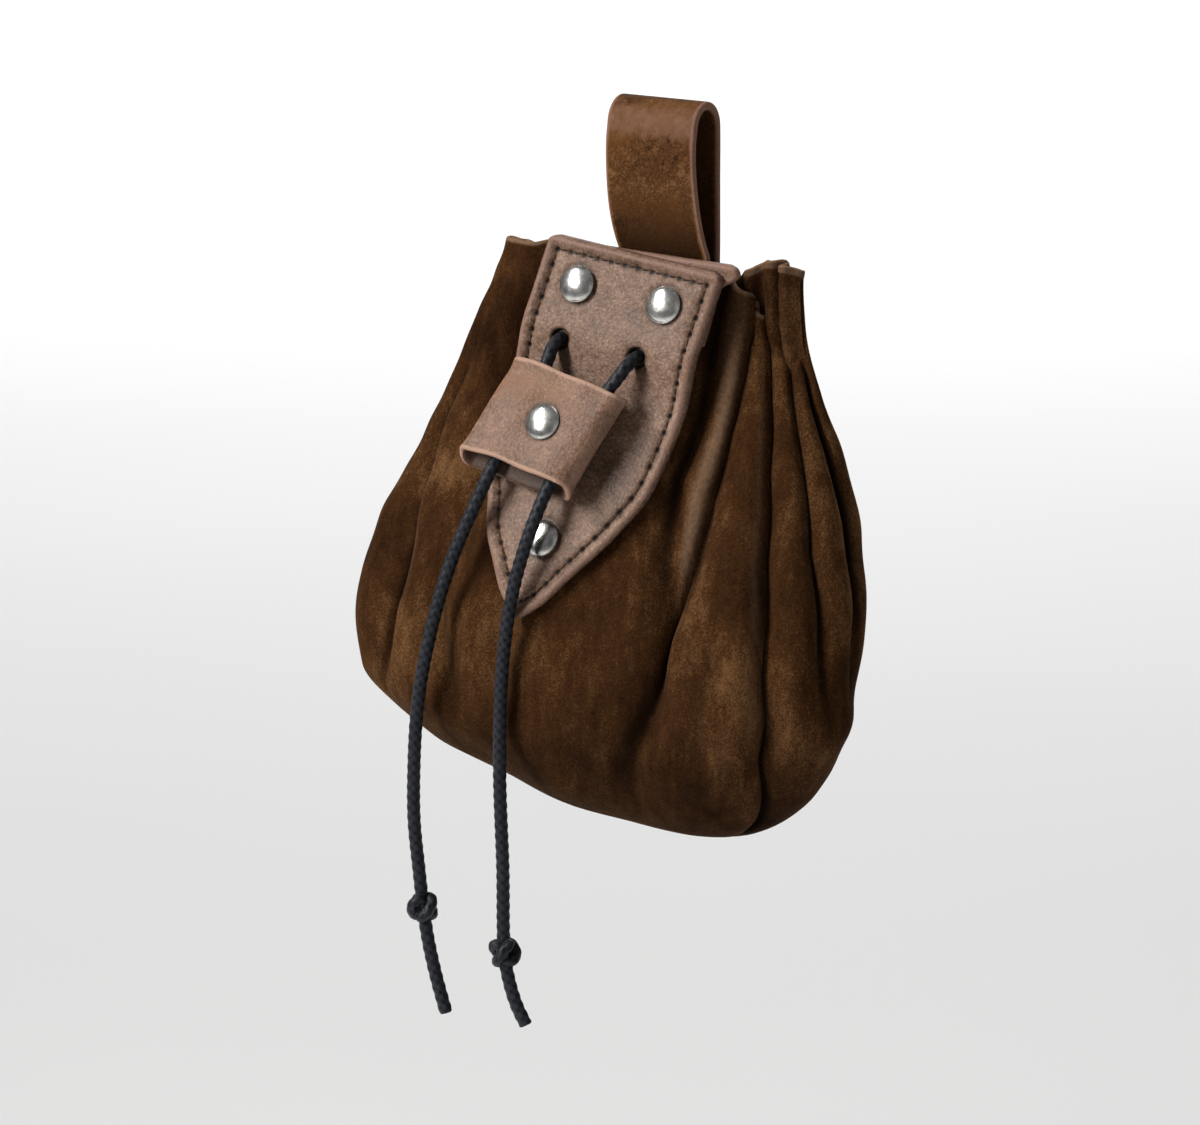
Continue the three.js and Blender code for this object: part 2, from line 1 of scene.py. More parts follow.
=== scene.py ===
"""Looks of a medieval belt pouch: a gathered suede bag that hangs from a leather belt loop.

Every piece is a surface worked out with numpy in the part's own frame, in metres: +Z up, front
towards -Y, the origin at the inside top of the belt loop. The bag and its plate lean a little, so
they have a frame of their own, the pouch frame. The tables of sizes repeat those of the solids.
"""

import logging
import math
from collections.abc import Callable, Sequence
from dataclasses import dataclass, field
from enum import Enum

import bpy
import numpy as np
from mathutils import Matrix

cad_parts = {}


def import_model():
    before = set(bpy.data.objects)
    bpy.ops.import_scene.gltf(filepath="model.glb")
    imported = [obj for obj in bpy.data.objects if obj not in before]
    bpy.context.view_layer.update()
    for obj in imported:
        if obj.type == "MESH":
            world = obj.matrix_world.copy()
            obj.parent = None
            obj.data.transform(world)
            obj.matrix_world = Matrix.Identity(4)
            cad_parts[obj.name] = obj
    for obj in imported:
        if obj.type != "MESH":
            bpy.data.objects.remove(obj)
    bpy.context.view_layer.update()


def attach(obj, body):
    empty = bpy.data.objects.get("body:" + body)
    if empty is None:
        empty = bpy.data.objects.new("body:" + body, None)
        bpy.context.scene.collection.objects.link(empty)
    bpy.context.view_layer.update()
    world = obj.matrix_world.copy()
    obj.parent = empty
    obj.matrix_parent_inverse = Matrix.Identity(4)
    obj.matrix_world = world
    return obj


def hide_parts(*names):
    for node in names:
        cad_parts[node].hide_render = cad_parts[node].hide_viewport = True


log = logging.getLogger("belt_pouch")

MM = 0.001
BODY = "root"
Colour = tuple[float, float, float]


# Numbers and curves


def smooth_table(places: Sequence[float], values: Sequence[float], at: np.ndarray) -> np.ndarray:
    """A monotone cubic curve through a table: Hermite spans with harmonic mean slopes.

    Args:
        places: Where the table's rows stand, rising.
        values: The value of each row.
        at: Where the curve is read.

    Returns:
        The curve's values there.
    """
    x, y = np.asarray(places, float), np.asarray(values, float)
    span = np.diff(x)
    rise = np.diff(y) / span
    before, after = rise[:-1], rise[1:]
    same = before * after > 0
    middle = np.where(same, 2 * before * after / np.where(same, before + after, 1), 0)
    slope = np.concatenate([[rise[0]], middle, [rise[-1]]])
    at = np.asarray(at, float)
    k = np.clip(np.searchsorted(x, at, side="left") - 1, 0, len(x) - 2)
    t = np.clip((at - x[k]) / span[k], 0, 1)
    return (
        y[k] * (2 * t**3 - 3 * t**2 + 1)
        + slope[k] * span[k] * (t**3 - 2 * t**2 + t)
        + y[k + 1] * (3 * t**2 - 2 * t**3)
        + slope[k + 1] * span[k] * (t**3 - t**2)
    )


def smoothstep(value: np.ndarray, low: float, high: float) -> np.ndarray:
    """A soft step from 0 at low to 1 at high: 3 t squared less 2 t cubed."""
    t = np.clip((value - low) / (high - low), 0, 1)
    return t * t * (3 - 2 * t)


def hump(value: np.ndarray, width: float) -> np.ndarray:
    """A bell of height 1 round zero: e to the minus (value / width) squared."""
    return np.exp(-((value / width) ** 2))


def unit(vectors: np.ndarray) -> np.ndarray:
    """The same vectors at length 1."""
    return vectors / np.maximum(np.linalg.norm(vectors, axis=-1, keepdims=True), 1e-12)


def wander(points: np.ndarray, size: float, seed: int) -> np.ndarray:
    """A smooth random field from about -1 to 1: a mean of sine waves in seeded directions.

    Args:
        points: Places, with the three coordinates last.
        size: The waves' typical length.
        seed: Of the directions and phases.

    Returns:
        The field at each place.
    """
    draw = np.random.default_rng(seed)
    waves = 9
    way = unit(draw.normal(size=(waves, 3)))
    length = size * draw.uniform(0.7, 1.5, waves)
    phase = draw.uniform(0, 2 * np.pi, waves)
    turn = points @ (way / length[:, None]).T * 2 * np.pi + phase
    return np.sin(turn).sum(-1) / math.sqrt(waves)


def through(points: Sequence[Sequence[float]], step: float) -> np.ndarray:
    """A centripetal Catmull-Rom curve through points, read at even steps along it.

    Args:
        points: The points that it goes through.
        step: The distance between two points of the result, about.

    Returns:
        The curve's points, one a row.
    """
    p = np.asarray(points, float)
    p = np.vstack([2 * p[0] - p[1], p, 2 * p[-1] - p[-2]])
    knots = np.concatenate([[0], np.cumsum(np.sqrt(np.linalg.norm(np.diff(p, axis=0), axis=1)))])
    spans = []
    for k in range(1, len(p) - 2):
        t0, t1, t2, t3 = knots[k - 1 : k + 3]
        t = np.linspace(t1, t2, 40, endpoint=False)[:, None]
        a = [(knots[j + 1] - t) / (knots[j + 1] - knots[j]) * p[j]
             + (t - knots[j]) / (knots[j + 1] - knots[j]) * p[j + 1] for j in (k - 1, k, k + 1)]
        b0 = (t2 - t) / (t2 - t0) * a[0] + (t - t0) / (t2 - t0) * a[1]
        b1 = (t3 - t) / (t3 - t1) * a[1] + (t - t1) / (t3 - t1) * a[2]
        spans.append((t2 - t) / (t2 - t1) * b0 + (t - t1) / (t2 - t1) * b1)
    line = np.vstack([*spans, p[-2][None]])
    travel = np.concatenate([[0], np.cumsum(np.linalg.norm(np.diff(line, axis=0), axis=1))])
    even = np.linspace(0, travel[-1], max(2, round(travel[-1] / step)) + 1)
    return np.stack([np.interp(even, travel, line[:, axis]) for axis in range(3)], axis=1)


def carried_frames(path: np.ndarray, closed: bool = False) -> tuple[np.ndarray, np.ndarray]:
    """Two directions square to a path and to each other, carried along it without twist.

    Args:
        path: The path's points, one a row.
        closed: True if the path runs round to its start; the leftover twist is then shared out.

    Returns:
        The first and the second direction at each point.
    """
    if closed:
        ahead = unit(np.roll(path, -1, axis=0) - np.roll(path, 1, axis=0))
    else:
        ahead = unit(np.gradient(path, axis=0))
    start = np.cross(ahead[0], (0.0, 0.0, 1.0) if abs(ahead[0][2]) < 0.9 else (1.0, 0.0, 0.0))
    sides = [unit(start)]
    for direction in ahead[1:]:
        side = sides[-1] - np.dot(sides[-1], direction) * direction
        sides.append(side / np.linalg.norm(side))
    side = np.array(sides)
    other = np.cross(ahead, side)
    if closed:
        last = side[-1] - np.dot(side[-1], ahead[0]) * ahead[0]
        left = math.atan2(float(np.dot(last, other[0])), float(np.dot(last, side[0])))
        turn = -left * np.arange(len(path))[:, None] / len(path)
        side, other = np.cos(turn) * side + np.sin(turn) * other, np.cos(turn) * other - np.sin(turn) * side
    return side, other


# Meshes


class Skin:
    """A mesh that is gathered from grids of points, with a weight named wear at each point."""

    def __init__(self) -> None:
        """Starts an empty mesh."""
        self.points: list[np.ndarray] = []
        self.weights: list[np.ndarray] = []
        self.faces: list[np.ndarray] = []
        self.count = 0

    def add(self, points: np.ndarray, wear: np.ndarray | float = 0.0) -> np.ndarray:
        """Adds points.

        Args:
            points: An array with the three coordinates last.
            wear: The weight of each point, or of all.

        Returns:
            The points' numbers, in the array's own layout.
        """
        layout = points.shape[:-1]
        size = int(np.prod(layout))
        self.points.append(points.reshape(-1, 3))
        self.weights.append(np.broadcast_to(wear, layout).reshape(-1))
        numbers = np.arange(self.count, self.count + size).reshape(layout)
        self.count += size
        return numbers

    def quads(self, numbers: np.ndarray, wrap_rows: bool = False, wrap_columns: bool = False) -> None:
        """Faces between neighbouring rows and columns of numbered points.

        Args:
            numbers: The points' numbers, rows by columns. A face's corners run from a row to the
                next one, and then to the next column.
            wrap_rows: True to join the last row to the first.
            wrap_columns: True to join the last column to the first.
        """
        if wrap_rows:
            numbers = np.vstack([numbers, numbers[:1]])
        if wrap_columns:
            numbers = np.hstack([numbers, numbers[:, :1]])
        a, b = numbers[:-1, :-1], numbers[1:, :-1]
        c, d = numbers[1:, 1:], numbers[:-1, 1:]
        self.faces.append(np.stack([a, b, c, d], axis=-1).reshape(-1, 4))

    def fan(self, ring: np.ndarray, tip: int, turned: bool = False) -> None:
        """Triangles from a closed ring of points to one point."""
        following = np.roll(ring, -1)
        corners = [following, ring] if turned else [ring, following]
        self.faces.append(np.stack([*corners, np.full(len(ring), tip)], axis=-1))

    def solid(self, name: str, material: bpy.types.Material, smooth: bool = True) -> bpy.types.Object:
        """The finished mesh as an object.

        Args:
            name: The object's name.
            material: Its finish.
            smooth: True to shade across its edges.

        Returns:
            The object, at the origin.
        """
        mesh = bpy.data.meshes.new(name)
        faces = [row for block in self.faces for row in block.tolist()]
        mesh.from_pydata(np.vstack(self.points), [], faces)
        weight = mesh.attributes.new("wear", "FLOAT", "POINT")
        weight.data.foreach_set("value", np.concatenate(self.weights).astype(np.float32))
        mesh.polygons.foreach_set("use_smooth", np.full(len(mesh.polygons), smooth))
        mesh.materials.append(material)
        mesh.update()
        thing = bpy.data.objects.new(name, mesh)
        bpy.context.scene.collection.objects.link(thing)
        return thing


def fit(thing: bpy.types.Object, slot: str, *nodes: str) -> bpy.types.Object:
    """Makes a piece ride on the part and stand for some nodes."""
    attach(thing, BODY)
    if nodes:
        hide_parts(*nodes)
    log.info("%s: %d faces", thing.name, len(thing.data.polygons))
    return thing


# Finishes


class Value:
    """A number that varies over a surface, with Python's operators as Math nodes."""

    def __init__(self, bench: "Bench", socket: bpy.types.NodeSocket) -> None:
        """Wraps a socket of a material."""
        self.bench = bench
        self.socket = socket

    def _with(self, operation: str, *others: "Value | float") -> "Value":
        """One Math node on this value and others."""
        return self.bench.maths(operation, self, *others)

    def __add__(self, other: "Value | float") -> "Value":
        """Sum."""
        return self._with("ADD", other)

    __radd__ = __add__

    def __mul__(self, other: "Value | float") -> "Value":
        """Product."""
        return self._with("MULTIPLY", other)

    __rmul__ = __mul__

    def __sub__(self, other: "Value | float") -> "Value":
        """Difference."""
        return self._with("SUBTRACT", other)

    def __rsub__(self, other: float) -> "Value":
        """Difference from a number."""
        return self.bench.maths("SUBTRACT", other, self)

    def __pow__(self, other: float) -> "Value":
        """Power."""
        return self._with("POWER", other)

    def between(self, low: float, high: float) -> "Value":
        """A soft step from 0 at low to 1 at high."""
        node = self.bench.node(
            "ShaderNodeMapRange",
            {"interpolation_type": "SMOOTHSTEP"},
            {"Value": self, "From Min": low, "From Max": high},
        )
        return Value(self.bench, node.outputs["Result"])


class Bench:
    """Where one material's nodes are put together."""

    def __init__(self, name: str) -> None:
        """Starts a material with a shader and nothing else."""
        self.material = bpy.data.materials.new(name)
        self.material.use_nodes = True
        self.tree = self.material.node_tree
        self.tree.nodes.clear()
        self.shader = self.tree.nodes.new("ShaderNodeBsdfPrincipled")
        output = self.tree.nodes.new("ShaderNodeOutputMaterial")
        self.tree.links.new(self.shader.outputs["BSDF"], output.inputs["Surface"])
        self.place = self.node("ShaderNodeTexCoord").outputs["Object"]

    def put(self, socket: bpy.types.NodeSocket, value: object) -> None:
        """Links a value to a socket, or sets the socket to a number or colour."""
        if isinstance(value, Value):
            value = value.socket
        if isinstance(value, bpy.types.NodeSocket):
            self.tree.links.new(value, socket)
        elif isinstance(value, tuple) and len(value) == 3 and socket.type == "RGBA":
            socket.default_value = (*value, 1.0)
        else:
            socket.default_value = value

    def node(self, kind: str, settings: dict | None = None, values: dict | None = None) -> bpy.types.Node:
        """Adds a node.

        Args:
            kind: The node's type.
            settings: Its own settings, set first; stops are a ramp's places and colours.
            values: The value or link of each socket, by the socket's name or number.

        Returns:
            The node.
        """
        made = self.tree.nodes.new(kind)
        for name, setting in (settings or {}).items():
            if name == "stops":
                ramp = made.color_ramp
                while len(ramp.elements) < len(setting):
                    ramp.elements.new(1.0)
                for element, (place, colour) in zip(ramp.elements, setting):
                    element.position = place
                    element.color = (*colour, 1.0)
            else:
                setattr(made, name, setting)
        for name, value in (values or {}).items():
            self.put(made.inputs[name], value)
        return made

    def maths(self, operation: str, *values: "Value | float") -> Value:
        """One Math node on values and numbers."""
        made = self.node("ShaderNodeMath", {"operation": operation}, dict(enumerate(values)))
        return Value(self, made.outputs[0])

    def wear(self) -> Value:
        """The weight that the mesh carries at each point."""
        made = self.node("ShaderNodeAttribute", {"attribute_name": "wear"})
        return Value(self, made.outputs["Fac"])

    def noise(self, size: float, detail: float = 3.0, roughness: float = 0.55,
              stretch: Colour = (1.0, 1.0, 1.0)) -> Value:
        """A noise from 0 to 1.

        Args:
            size: The length of its largest grains, in metres.
            detail: How many finer octaves it has.
            roughness: How strong they are.
            stretch: A factor on each axis; over 1 makes the grains shorter along it.

        Returns:
            The noise.
        """
        mapped = self.node("ShaderNodeMapping", {}, {"Vector": self.place, "Scale": stretch})
        made = self.node(
            "ShaderNodeTexNoise", {},
            {"Vector": mapped.outputs[0], "Scale": 1 / size, "Detail": detail, "Roughness": roughness},
        )
        return Value(self, made.outputs["Fac"])

    def cells(self, size: float, feature: str = "F1") -> Value:
        """The distance to the nearest of scattered points, in cells of a size."""
        made = self.node(
            "ShaderNodeTexVoronoi", {"feature": feature}, {"Vector": self.place, "Scale": 1 / size}
        )
        return Value(self, made.outputs["Distance"])

    def ramp(self, value: Value, *stops: tuple[float, Colour]) -> bpy.types.NodeSocket:
        """A colour for each value, between stops."""
        made = self.node("ShaderNodeValToRGB", {"stops": stops}, {"Fac": value})
        return made.outputs["Color"]

    def blend(self, factor: Value | float, first: object, second: object,
              way: str = "MIX") -> bpy.types.NodeSocket:
        """Two colours mixed in one of Blender's ways."""
        made = self.node("ShaderNodeMix", {"data_type": "RGBA", "blend_type": way}, {0: factor})
        self.put(made.inputs[6], first)
        self.put(made.inputs[7], second)
        return made.outputs[2]

    def relief(self, *layers: tuple[Value, float]) -> None:
        """Bumps: each layer is a value from 0 to 1 and its height in metres."""
        normal = None
        for value, height in layers:
            values = {"Height": value, "Distance": height, "Strength": 1.0}
            if normal is not None:
                values["Normal"] = normal
            normal = self.node("ShaderNodeBump", {}, values).outputs["Normal"]
        self.put(self.shader.inputs["Normal"], normal)

    def finish(self, colour: object, roughness: object, **constants: object) -> bpy.types.Material:
        """Sets the shader.

        Args:
            colour: The base colour, or what gives it.
            roughness: A number, or what gives it.
            constants: Other sockets, with underscores for spaces, each one number or colour.

        Returns:
            The material.
        """
        self.put(self.shader.inputs["Base Color"], colour)
        self.put(self.shader.inputs["Roughness"], roughness)
        for name, value in constants.items():
            self.put(self.shader.inputs[name.replace("_", " ")], value)
        return self.material


@dataclass(frozen=True)
class Suede:
    """Brushed suede: a warm brown nap, paler at its cut rim, with painted highlights on the ridges and
    painted shade, nearly black, in the folds.
    """

    # The first colour is painted shade in the folds; the last is the pale cut rim and the painted highlights.
    fold: Colour = (0.004, 0.0019, 0.001)
    shade: Colour = (0.014, 0.005, 0.0018)
    ground: Colour = (0.045, 0.0185, 0.0062)
    brushed: Colour = (0.16, 0.08, 0.033)
    cut_edge_and_highlight: Colour = (0.2, 0.122, 0.075)

    def material(self) -> bpy.types.Material:
        """The nap: clouds of brushed colour, fine grain, and a fibre relief."""
        bench = Bench("suede")
        wear = bench.wear()
        clouds = bench.noise(0.024, 3, 0.5)
        nap = bench.noise(0.0011, 3, 0.7)
        grain = bench.noise(0.0004, 2, 0.7)
        strokes = bench.noise(0.006, 3, 0.6, (2.0, 2.0, 0.5))
        tone = clouds * 0.55 + strokes * 0.3 + nap * 0.16 + grain * 0.4 - 0.245
        colour = bench.ramp(tone, (0.3, self.shade), (0.48, self.ground), (0.7, self.brushed))
        # Painted shade, nearly black: in the creases, low down, at the right end and inside the bag.
        colour = bench.blend((0 - wear).between(0.05, 0.95), colour, self.fold)
        # The pale cut rim, and painted highlights on the crease lips and on the flat pleat beside the plate.
        colour = bench.blend((wear * (0.55 + 0.6 * nap)).between(0.15, 1.2), colour, self.cut_edge_and_highlight)
        bench.relief((nap, 0.00022), (grain, 0.00016))
        return bench.finish(colour, 0.95, Sheen_Weight=0.07, Sheen_Roughness=0.35,
                            Sheen_Tint=(0.8, 0.5, 0.3), Specular_IOR_Level=0.03)


@dataclass(frozen=True)
class Leather:
    """Rubbed cowhide: a base, darker pull-up clouds, a warm patch colour, pale worn edges, painted highlights
    and painted shade.
    """

    name: str
    dark: Colour
    ground: Colour
    light: Colour
    warm: Colour
    edge: Colour
    cloud_size: float = 0.011
    warm_share: float = 0.5
    pebble: float = 0.0008
    depth: float = 0.00007
    roughness: float = 0.52
    specular: float = 0.3

    def material(self) -> bpy.types.Material:
        """The hide: clouds, warm stains, pebbled grain, pores, rubbed edges, painted highlights and painted
        shade.
        """
        bench = Bench(self.name)
        wear = bench.wear()
        clouds = bench.noise(self.cloud_size, 4, 0.62)
        stains = bench.noise(self.cloud_size * 1.7, 3, 0.5, (0.8, 1.0, 1.5))
        mottle = bench.noise(0.0021, 4, 0.68)
        grain = bench.noise(0.00048, 2, 0.65)
        pebbles = bench.cells(self.pebble)
        tone = clouds * 0.45 + mottle * 0.4 + grain * 0.5 - pebbles * 0.12 - 0.13
        colour = bench.ramp(tone, (0.3, self.dark), (0.5, self.ground), (0.72, self.light))
        warmth = stains.between(1.0 - self.warm_share, 1.25 - self.warm_share)
        colour = bench.blend(warmth * 0.8, colour, self.warm)
        # Painted shade: where the weight is below zero the hide goes towards nearly black, in the plate's
        # stitch groove, stitch holes and cord holes, round the rivets, in the keeper's cast shadow, inside
        # the keeper and on the strap's inner face; the strap's front leg is simply darker towards its foot.
        shade = (0 - wear).between(0.05, 1.0)
        colour = bench.blend(shade, colour, tuple(0.22 * c for c in self.dark))
        # Pale worn edges, and painted highlights on the strap's bend and the keeper's folded sides.
        colour = bench.blend((wear + (mottle - 0.5) * 0.5).between(0.2, 0.95), colour, self.edge)
        bench.relief((pebbles, self.depth), (mottle, 0.0001), (grain, 0.00012))
        rough = self.roughness + (mottle - 0.5) * 0.3 + (clouds - 0.5) * 0.2
        return bench.finish(colour, rough, Specular_IOR_Level=self.specular)


@dataclass(frozen=True)
class Nickel:
    """Polished nickel that has been handled: bright, with soft scuffs and painted shade on its rim."""

    bright: Colour = (0.6, 0.595, 0.57)
    dull: Colour = (0.34, 0.335, 0.32)

    def material(self) -> bpy.types.Material:
        """The metal: smudges in its colour and gloss, fine scratches and shallow dents."""
        bench = Bench("nickel")
        smudge = bench.noise(0.0022, 4, 0.65)
        scratch = bench.noise(0.0006, 3, 0.7, (0.35, 1.0, 3.0))
        colour = bench.ramp(smudge, (0.36, self.dull), (0.56, self.bright))
        # Painted shade, nearly black, on each rivet's rim underside, shank and tail.
        colour = bench.blend((0 - bench.wear()).between(0.1, 0.9), colour, (0.02, 0.018, 0.016))
        bench.relief((smudge, 0.00007), (scratch, 0.000015))
        rough = 0.15 + smudge * 0.12 + scratch * 0.06
        return bench.finish(colour, rough, Metallic=1.0)


@dataclass(frozen=True)
class WaxedBraid:
    """Black waxed braid: nearly black, a cool gloss on the strands, dull in the gaps."""

    name: str = "waxed_braid"
    specular: float = 0.18
    gap: Colour = (0.0012, 0.0012, 0.0015)
    strand: Colour = (0.0032, 0.0036, 0.0046)
    rubbed: Colour = (0.022, 0.025, 0.032)

    def material(self) -> bpy.types.Material:
        """The strands: threads along them, wax that has worn off the high places."""
        bench = Bench(self.name)
        wear = bench.wear()
        thread = bench.noise(0.00035, 3, 0.7, (1.0, 1.0, 0.6))
        patch = bench.noise(0.004, 2, 0.5)
        high = wear * 0.7 + thread * 0.35 + patch * 0.25
        colour = bench.ramp(high, (0.25, self.gap), (0.6, self.strand), (1.0, self.rubbed))
        bench.relief((thread, 0.0001))
        return bench.finish(colour, 0.26 + thread * 0.3, Specular_IOR_Level=self.specular)


class Finishes:
    """The materials, made once each."""

    def __init__(self) -> None:
        """Makes all the finishes."""
        self.suede = Suede().material()
        self.plate = Leather(
            "plate_leather", dark=(0.055, 0.028, 0.018), ground=(0.175, 0.102, 0.068),
            light=(0.34, 0.228, 0.166), warm=(0.15, 0.07, 0.031), edge=(0.2, 0.11, 0.076),
            warm_share=0.4,
        ).material()
        self.strap = Leather(
            "strap_leather", dark=(0.02, 0.0068, 0.0022), ground=(0.082, 0.034, 0.011),
            light=(0.2, 0.108, 0.052), warm=(0.1, 0.038, 0.008), edge=(0.2, 0.108, 0.074),
            warm_share=0.6, depth=0.00008, roughness=0.66, specular=0.03,
        ).material()
        self.keeper = Leather(
            "keeper_leather", dark=(0.07, 0.031, 0.016), ground=(0.185, 0.102, 0.064),
            light=(0.32, 0.195, 0.135), warm=(0.19, 0.076, 0.028), edge=(0.36, 0.215, 0.15),
            warm_share=0.52,
        ).material()
        self.nickel = Nickel().material()
        self.braid = WaxedBraid().material()
        self.thread = WaxedBraid(
            "stitching_thread", specular=0.1, gap=(0.005, 0.002, 0.001), strand=(0.02, 0.008, 0.0035),
            rubbed=(0.06, 0.028, 0.014),
        ).material()


# The bag's form, which its plate and strap follow


@dataclass(frozen=True)
class PouchForm:
    """The bag's unfolded form and the surfaces that lie on it, in millimetres in the pouch frame."""

    gap: float = 0.3
    height: float = 122.0
    width: float = 122.0
    depth: float = 50.4
    rim: float = -2.0
    back_plane: float = 3.9
    tilt: float = math.radians(7)
    across: float = 3.0
    hang: float = 30.0
    strap_wall: float = 1.8
    patch_wall: float = 1.5
    patch_height: float = 16.0
    plate_wall: float = 1.8
    drops: tuple[float, ...] = (0, 0.08, 0.17, 0.27, 0.4, 0.55, 0.7, 0.82, 0.91, 0.965, 0.992, 1)
    left: tuple[float, ...] = (
        0.318, 0.324, 0.34, 0.366, 0.403, 0.439, 0.462, 0.435, 0.305, 0.11, -0.05, -0.16)
    right: tuple[float, ...] = (
        0.3, 0.322, 0.369, 0.43, 0.5, 0.55, 0.561, 0.525, 0.465, 0.39, 0.28, 0.16)
    front_side: tuple[float, ...] = (
        0.296, 0.36, 0.45, 0.565, 0.725, 0.886, 0.99, 1, 0.905, 0.765, 0.61, 0.49)
    back_side: tuple[float, ...] = (
        0.107, 0.105, 0.1, 0.02, 0, 0, 0, 0.018, 0.09, 0.22, 0.37, 0.49)
    square: tuple[float, ...] = (
        0.62, 0.68, 0.76, 0.84, 0.9, 0.95, 0.95, 0.95, 0.95, 0.97, 1, 1)

    def section(self, drop: np.ndarray) -> dict[str, np.ndarray]:
        """The superellipse at a share of the height: centre, half sizes and exponent."""
        left = -self.width * smooth_table(self.drops, self.left, drop)
        right = self.width * smooth_table(self.drops, self.right, drop)
        front = self.back_plane - self.depth * smooth_table(self.drops, self.front_side, drop)
        back = self.back_plane - self.depth * smooth_table(self.drops, self.back_side, drop)
        return {
            "cx": (left + right) / 2, "hx": (right - left) / 2,
            "cy": (front + back) / 2, "hy": (back - front) / 2,
            "q": smooth_table(self.drops, self.square, drop),
        }

    def side(self, x: np.ndarray, z: np.ndarray, way: float) -> np.ndarray:
        """The bag's smooth front, way -1, or back, way 1, at a place across and down."""
        s = self.section(np.clip((self.rim - z) / self.height, 0, 1))
        share = np.minimum(np.abs((x - s["cx"]) / s["hx"]), 1)
        return s["cy"] + way * s["hy"] * (1 - share ** (2 / s["q"])) ** (s["q"] / 2)

    def front(self, x: np.ndarray, z: np.ndarray) -> np.ndarray:
        """The bag's smooth front."""
        return self.side(np.asarray(x, float), np.asarray(z, float), -1)

    def stand_off(self, z: np.ndarray) -> np.ndarray:
        """How far the plate stands off the bag: its top rides over the strap's end and the patch."""
        layers = self.strap_wall + self.patch_wall + 2 * self.gap
        return self.gap + layers * (1 - smoothstep(-z, self.patch_height + 0.5, self.patch_height + 16))

    def plate(self, x: np.ndarray, z: np.ndarray, lift: np.ndarray | float = 0.0) -> np.ndarray:
        """Points on the plate's outer surface, raised by a lift towards the front."""
        x, z = np.broadcast_arrays(np.asarray(x, float), np.asarray(z, float))
        y = self.front(x, z) - self.stand_off(z) - self.plate_wall - lift
        return np.stack([x, y, z], axis=-1)

    def plate_frame(self, x: float, z: float, lift: float = 0.0) -> tuple[np.ndarray, ...]:
        """A place on the plate, and the directions right, up and out there."""
        step = 2.0
        at = [self.plate(x + dx, z + dz) for dx, dz in ((step, 0), (-step, 0), (0, -step), (0, step))]
        right = unit(np.array([2 * step, at[0][1] - at[1][1], 0]))
        down = np.array([0, at[2][1] - at[3][1], -2 * step])
        out = unit(np.cross(down, right))
        up = np.cross(out, right)
        return self.plate(x, z) + out * lift, right, up, out

    def to_part(self, points: np.ndarray) -> np.ndarray:
        """Points of the pouch frame in the part's frame: turned by the tilt and moved down."""
        x, y, z = np.moveaxis(points, -1, 0)
        c, s = math.cos(self.tilt), math.sin(self.tilt)
        return np.stack([c * x + s * z + self.across, y, c * z - s * x - self.hang], axis=-1)

    def to_pouch(self, points: np.ndarray) -> np.ndarray:
        """Points of the part's frame in the pouch frame."""
        x, y, z = np.moveaxis(points, -1, 0)
        x, z = x - self.across, z + self.hang
        c, s = math.cos(self.tilt), math.sin(self.tilt)
        return np.stack([c * x - s * z, y, c * z + s * x], axis=-1)


@dataclass(frozen=True)
class Crease:
    """A fold between two pleats. Each row says, at a drop: where round the bag it lies, as a share
    of the way round from the right with the front at 0.75; how deep, how wide and how far its lip
    leans over it, in millimetres. A lip with a lean above 0 lies on the side of the lower shares."""

    rows: tuple[tuple[float, float, float, float, float], ...]

    def at(self, drop: np.ndarray) -> list[np.ndarray]:
        """Share, depth, width and lean at each drop."""
        table = np.array(self.rows).T
        return [np.interp(drop, table[0], column) for column in table[1:]]


